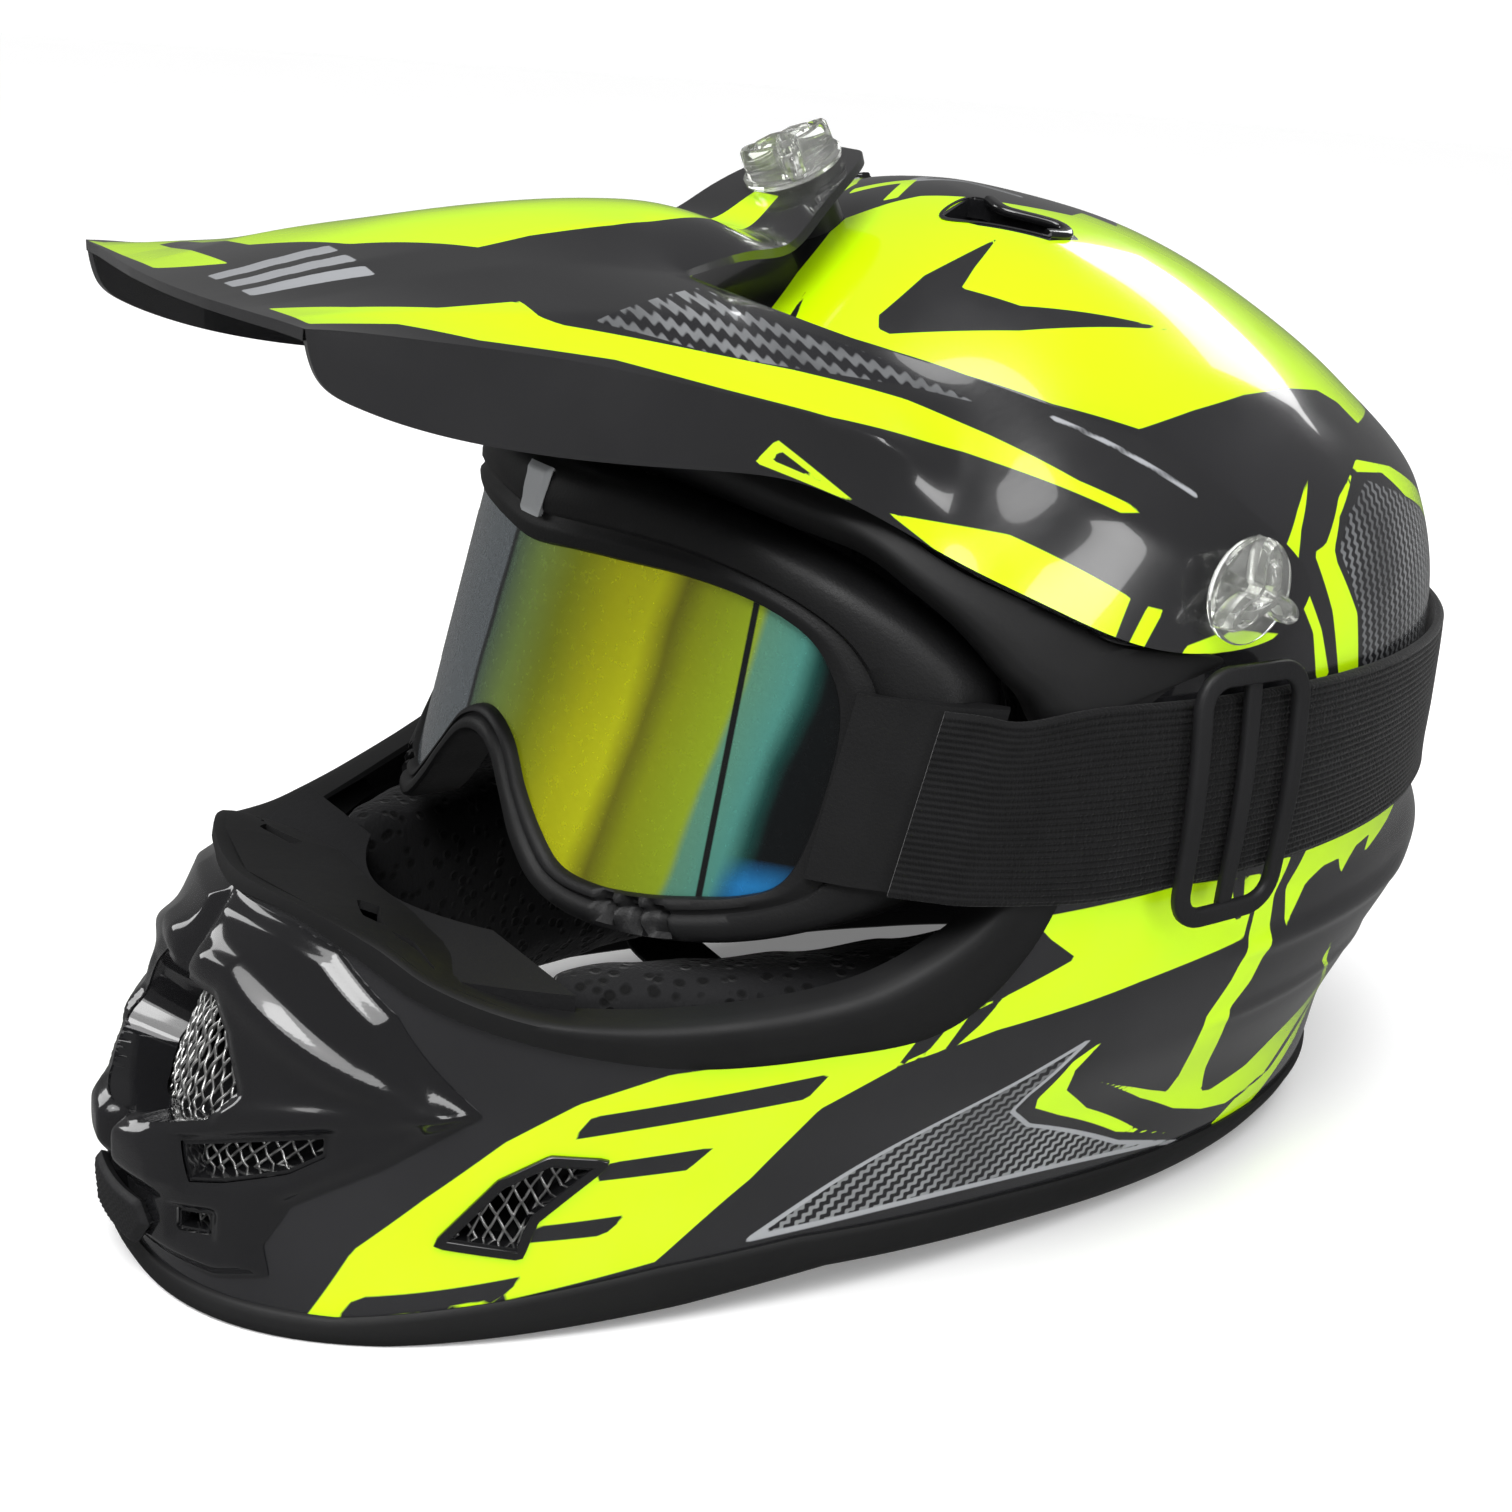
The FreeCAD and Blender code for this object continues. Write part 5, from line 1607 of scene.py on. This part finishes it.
def inflate(pad, cap):
    """Swells a pad by a short cloth simulation; no point moves more than the cap, in mm."""
    before = mesh_points(pad)
    cloth = pad.modifiers.new("cloth", "CLOTH")
    cloth.settings.use_pressure = True
    cloth.settings.uniform_pressure_force = 4.0
    cloth.settings.effector_weights.gravity = 0.0
    scene = bpy.context.scene
    for step in range(1, 21):
        scene.frame_set(step)
    apply_modifiers(pad)
    scene.frame_set(1)
    move = mesh_points(pad) - before
    size = np.linalg.norm(move, axis=1, keepdims=True)
    after = before + move * np.minimum(1.0, cap / np.maximum(size, 1e-6))
    pad.data.vertices.foreach_set("co", scene_points(after).ravel())
    pad.data.update()


def build_pads():
    for label in ("left", "right"):
        soft_pad("cheek_pad_" + label, "cheek_pad_mesh_cloth_" + label, COMFORT, 4.5, swell=2.5)
    soft_pad("neck_roll", "neck_roll_cloth", COMFORT, 5.0)
    soft_pad("comfort_liner", "comfort_liner_cloth", COMFORT, 4.5)
    soft_pad("goggle_face_foam", "goggle_face_foam_soft", GOGGLE_FOAM, 3.0)


def build_chin_strap():
    """Two runs of flat webbing from the shell's sides to the ratchet buckle."""
    shrink = 1 - 13.9 / 140         # the webbing runs inside the liner
    side = [(float(shell_x([-31], [z])[0]) * shrink, z) for z in (57, 47, 37, 27, 19)]
    for (label, sign), inner_end in zip(SIDES, (20, 26)):
        route = side + [(84.0, 13.2), (80, 10.2), (70, 8.9), (45, 7.6), (inner_end, 7.2)]
        line = spline(np.array(route, float), 120)
        points = np.stack([line[:, 0], np.full(len(line), PIN_Y), line[:, 1]], 1)
        out = np.cross(np.gradient(points, axis=0), [0, 1.0, 0])
        shape = tube(points, out, rounded(23.0, 1.7, 0.5))
        make_piece("chin_strap_webbing_" + label, on_side(shape, sign), WEBBING, "helmet",
                   "chin_strap_" + label, sharp=50)


# ------------------------------------------------------------------ CAD nodes that stay

KEPT_NODES = {
    "side_screw_bosses": MATTE_BLACK, "top_screw_boss": MATTE_BLACK, "threaded_inserts": BRASS,
    "impact_liner": FOAM, "side_liner_left": FOAM, "side_liner_right": FOAM,
    "chin_impact_liner": FOAM, "goggle_outrigger_left": FRAME_BLACK,
    "goggle_outrigger_right": FRAME_BLACK, "strap_anchor_plates": STEEL,
    "strap_rivets": STEEL, "strap_buckle_base": MATTE_BLACK, "strap_buckle_pin": STEEL,
    "strap_buckle_lever": LEVER_RED, "strap_buckle_tongue": MATTE_BLACK,
}


def dress_kept_nodes():
    """Gives the CAD nodes that are shown as they are their materials."""
    for name, material in KEPT_NODES.items():
        for slot in frame["nodes"][name].material_slots:
            slot.link = "OBJECT"
            slot.material = material


# ------------------------------------------------------------------ room, lights and camera


DOME_SIDES = 64
DOME_ROWS = 14
DOME_RADIUS = 5.8
FLOOR_REACH = 6.0


def build_dome():
    """A pale backdrop far round the object, lit by itself."""
    turns = np.linspace(0, 2 * math.pi, DOME_SIDES, endpoint=False)
    rings = []
    for lean in np.linspace(-0.02, math.pi / 2 - 0.01, DOME_ROWS):
        rings.append(np.stack([np.cos(turns) * math.cos(lean), np.sin(turns) * math.cos(lean),
                               np.full(DOME_SIDES, math.sin(lean))], 1) * DOME_RADIUS)
    mesh = bpy.data.meshes.new("studio_backdrop")
    mesh.from_pydata(np.vstack(rings).tolist(), [], grid_faces(DOME_ROWS, DOME_SIDES, True))
    dome = add_object("studio_backdrop", mesh)
    s = Shader("backdrop_glow", Roughness=1.0, Emission_Strength=1.2)
    s.set(s.surface, "Base Color", (0.0, 0.0, 0.0, 1.0))
    s.set(s.surface, "Emission Color", s.tint((0.96, 0.96, 0.96), 0.01, 1.0))
    mesh.materials.append(s.material)
    dome.visible_diffuse = False
    dome.visible_glossy = False
    dome.visible_transmission = False
    dome.visible_shadow = False
    return dome


def build_room():
    mesh = bpy.data.meshes.new("studio_floor")
    corners = [(-1, -1), (1, -1), (1, 1), (-1, 1)]
    mesh.from_pydata([(x * FLOOR_REACH, y * FLOOR_REACH, 0) for x, y in corners], [],
                     [(0, 1, 2, 3)])
    floor = add_object("studio_floor", mesh)
    s = Shader("floor_paper", Roughness=0.9, Emission_Color=(0.9, 0.9, 0.9, 1.0),
               Emission_Strength=0.2)
    s.set(s.surface, "Base Color", s.tint((0.90, 0.90, 0.90), 0.01, 3.0))
    mesh.materials.append(s.material)
    floor.visible_glossy = False
    dome = build_dome()
    world = bpy.data.worlds.new("studio")
    world.use_nodes = True
    world.node_tree.nodes["Background"].inputs[0].default_value = (1.0, 1.0, 1.0, 1.0)
    world.node_tree.nodes["Background"].inputs[1].default_value = 0.16
    bpy.context.scene.world = world
    bpy.context.scene.view_settings.view_transform = "Standard"


# Softboxes: name, place, width, height and power.
SOFTBOXES = (
    ("key_softbox", (0.5, -0.9, 1.5), 0.9, 0.5, 9.0),
    ("side_softbox", (1.5, 0.2, 0.8), 0.35, 1.0, 6.0),
    ("left_softbox", (-1.2, -1.0, 0.9), 0.5, 0.9, 6.0),
    ("back_softbox", (-0.4, 1.4, 1.1), 0.9, 0.5, 7.0),
)
LIGHT_TARGET = Vector((0.0, 0.0, 0.13))


def add_light(data, direction):
    """Puts a light into the scene, shining in this direction."""
    light = add_object(data.name, data)
    light.rotation_euler = direction.to_track_quat("-Z", "Y").to_euler()
    return light


def build_lights():
    for name, place, width, height, power in SOFTBOXES:
        data = bpy.data.lights.new(name, "AREA")
        data.shape = "RECTANGLE"
        data.size = width
        data.size_y = height
        data.energy = power
        add_light(data, LIGHT_TARGET - Vector(place)).location = place
    sky = bpy.data.lights.new("overhead_light", "SUN")
    sky.energy = 2.7
    sky.angle = math.radians(55)
    add_light(sky, Vector((-0.25, 0.35, -1.0)))


CAMERA_AZIMUTH = math.radians(54)
CAMERA_ELEVATION = math.radians(19.5)
CAMERA_ROLL = math.radians(4.4)
CAMERA_DISTANCE = 600.0
CAMERA_TARGET = np.array([-7.9, -50.6, 99.2])
CAMERA_LENS = 52.86
CAMERA_SENSOR = 36.0


def build_camera():
    a, e, r = CAMERA_AZIMUTH, CAMERA_ELEVATION, CAMERA_ROLL
    back = np.array([math.sin(a) * math.cos(e), -math.cos(a) * math.cos(e), math.sin(e)])
    level_right = np.array([math.cos(a), math.sin(a), 0.0])
    level_up = np.cross(back, level_right)
    right = math.cos(r) * level_right + math.sin(r) * level_up
    up = -math.sin(r) * level_right + math.cos(r) * level_up
    place = scene_points((CAMERA_TARGET + back * CAMERA_DISTANCE)[None])[0]
    data = bpy.data.cameras.new("camera")
    data.lens = CAMERA_LENS
    data.sensor_width = CAMERA_SENSOR
    data.clip_start = 0.01
    camera = add_object("camera", data)
    turn = Matrix((right, up, back)).transposed().to_4x4()
    camera.matrix_world = Matrix.Translation(Vector(place)) @ turn
    bpy.context.scene.camera = camera


for build in (build_shell, build_eyeport_trim, build_bottom_trim, build_mouthpiece, build_nets,
              build_breath_guard, build_vent_slider, build_crown_vents, build_peak, build_screws,
              build_goggle_frame, build_goggle_lens, build_goggle_clip, build_strap,
              build_buckles, build_pads, build_chin_strap, dress_kept_nodes, build_room,
              build_lights, build_camera):
    build()
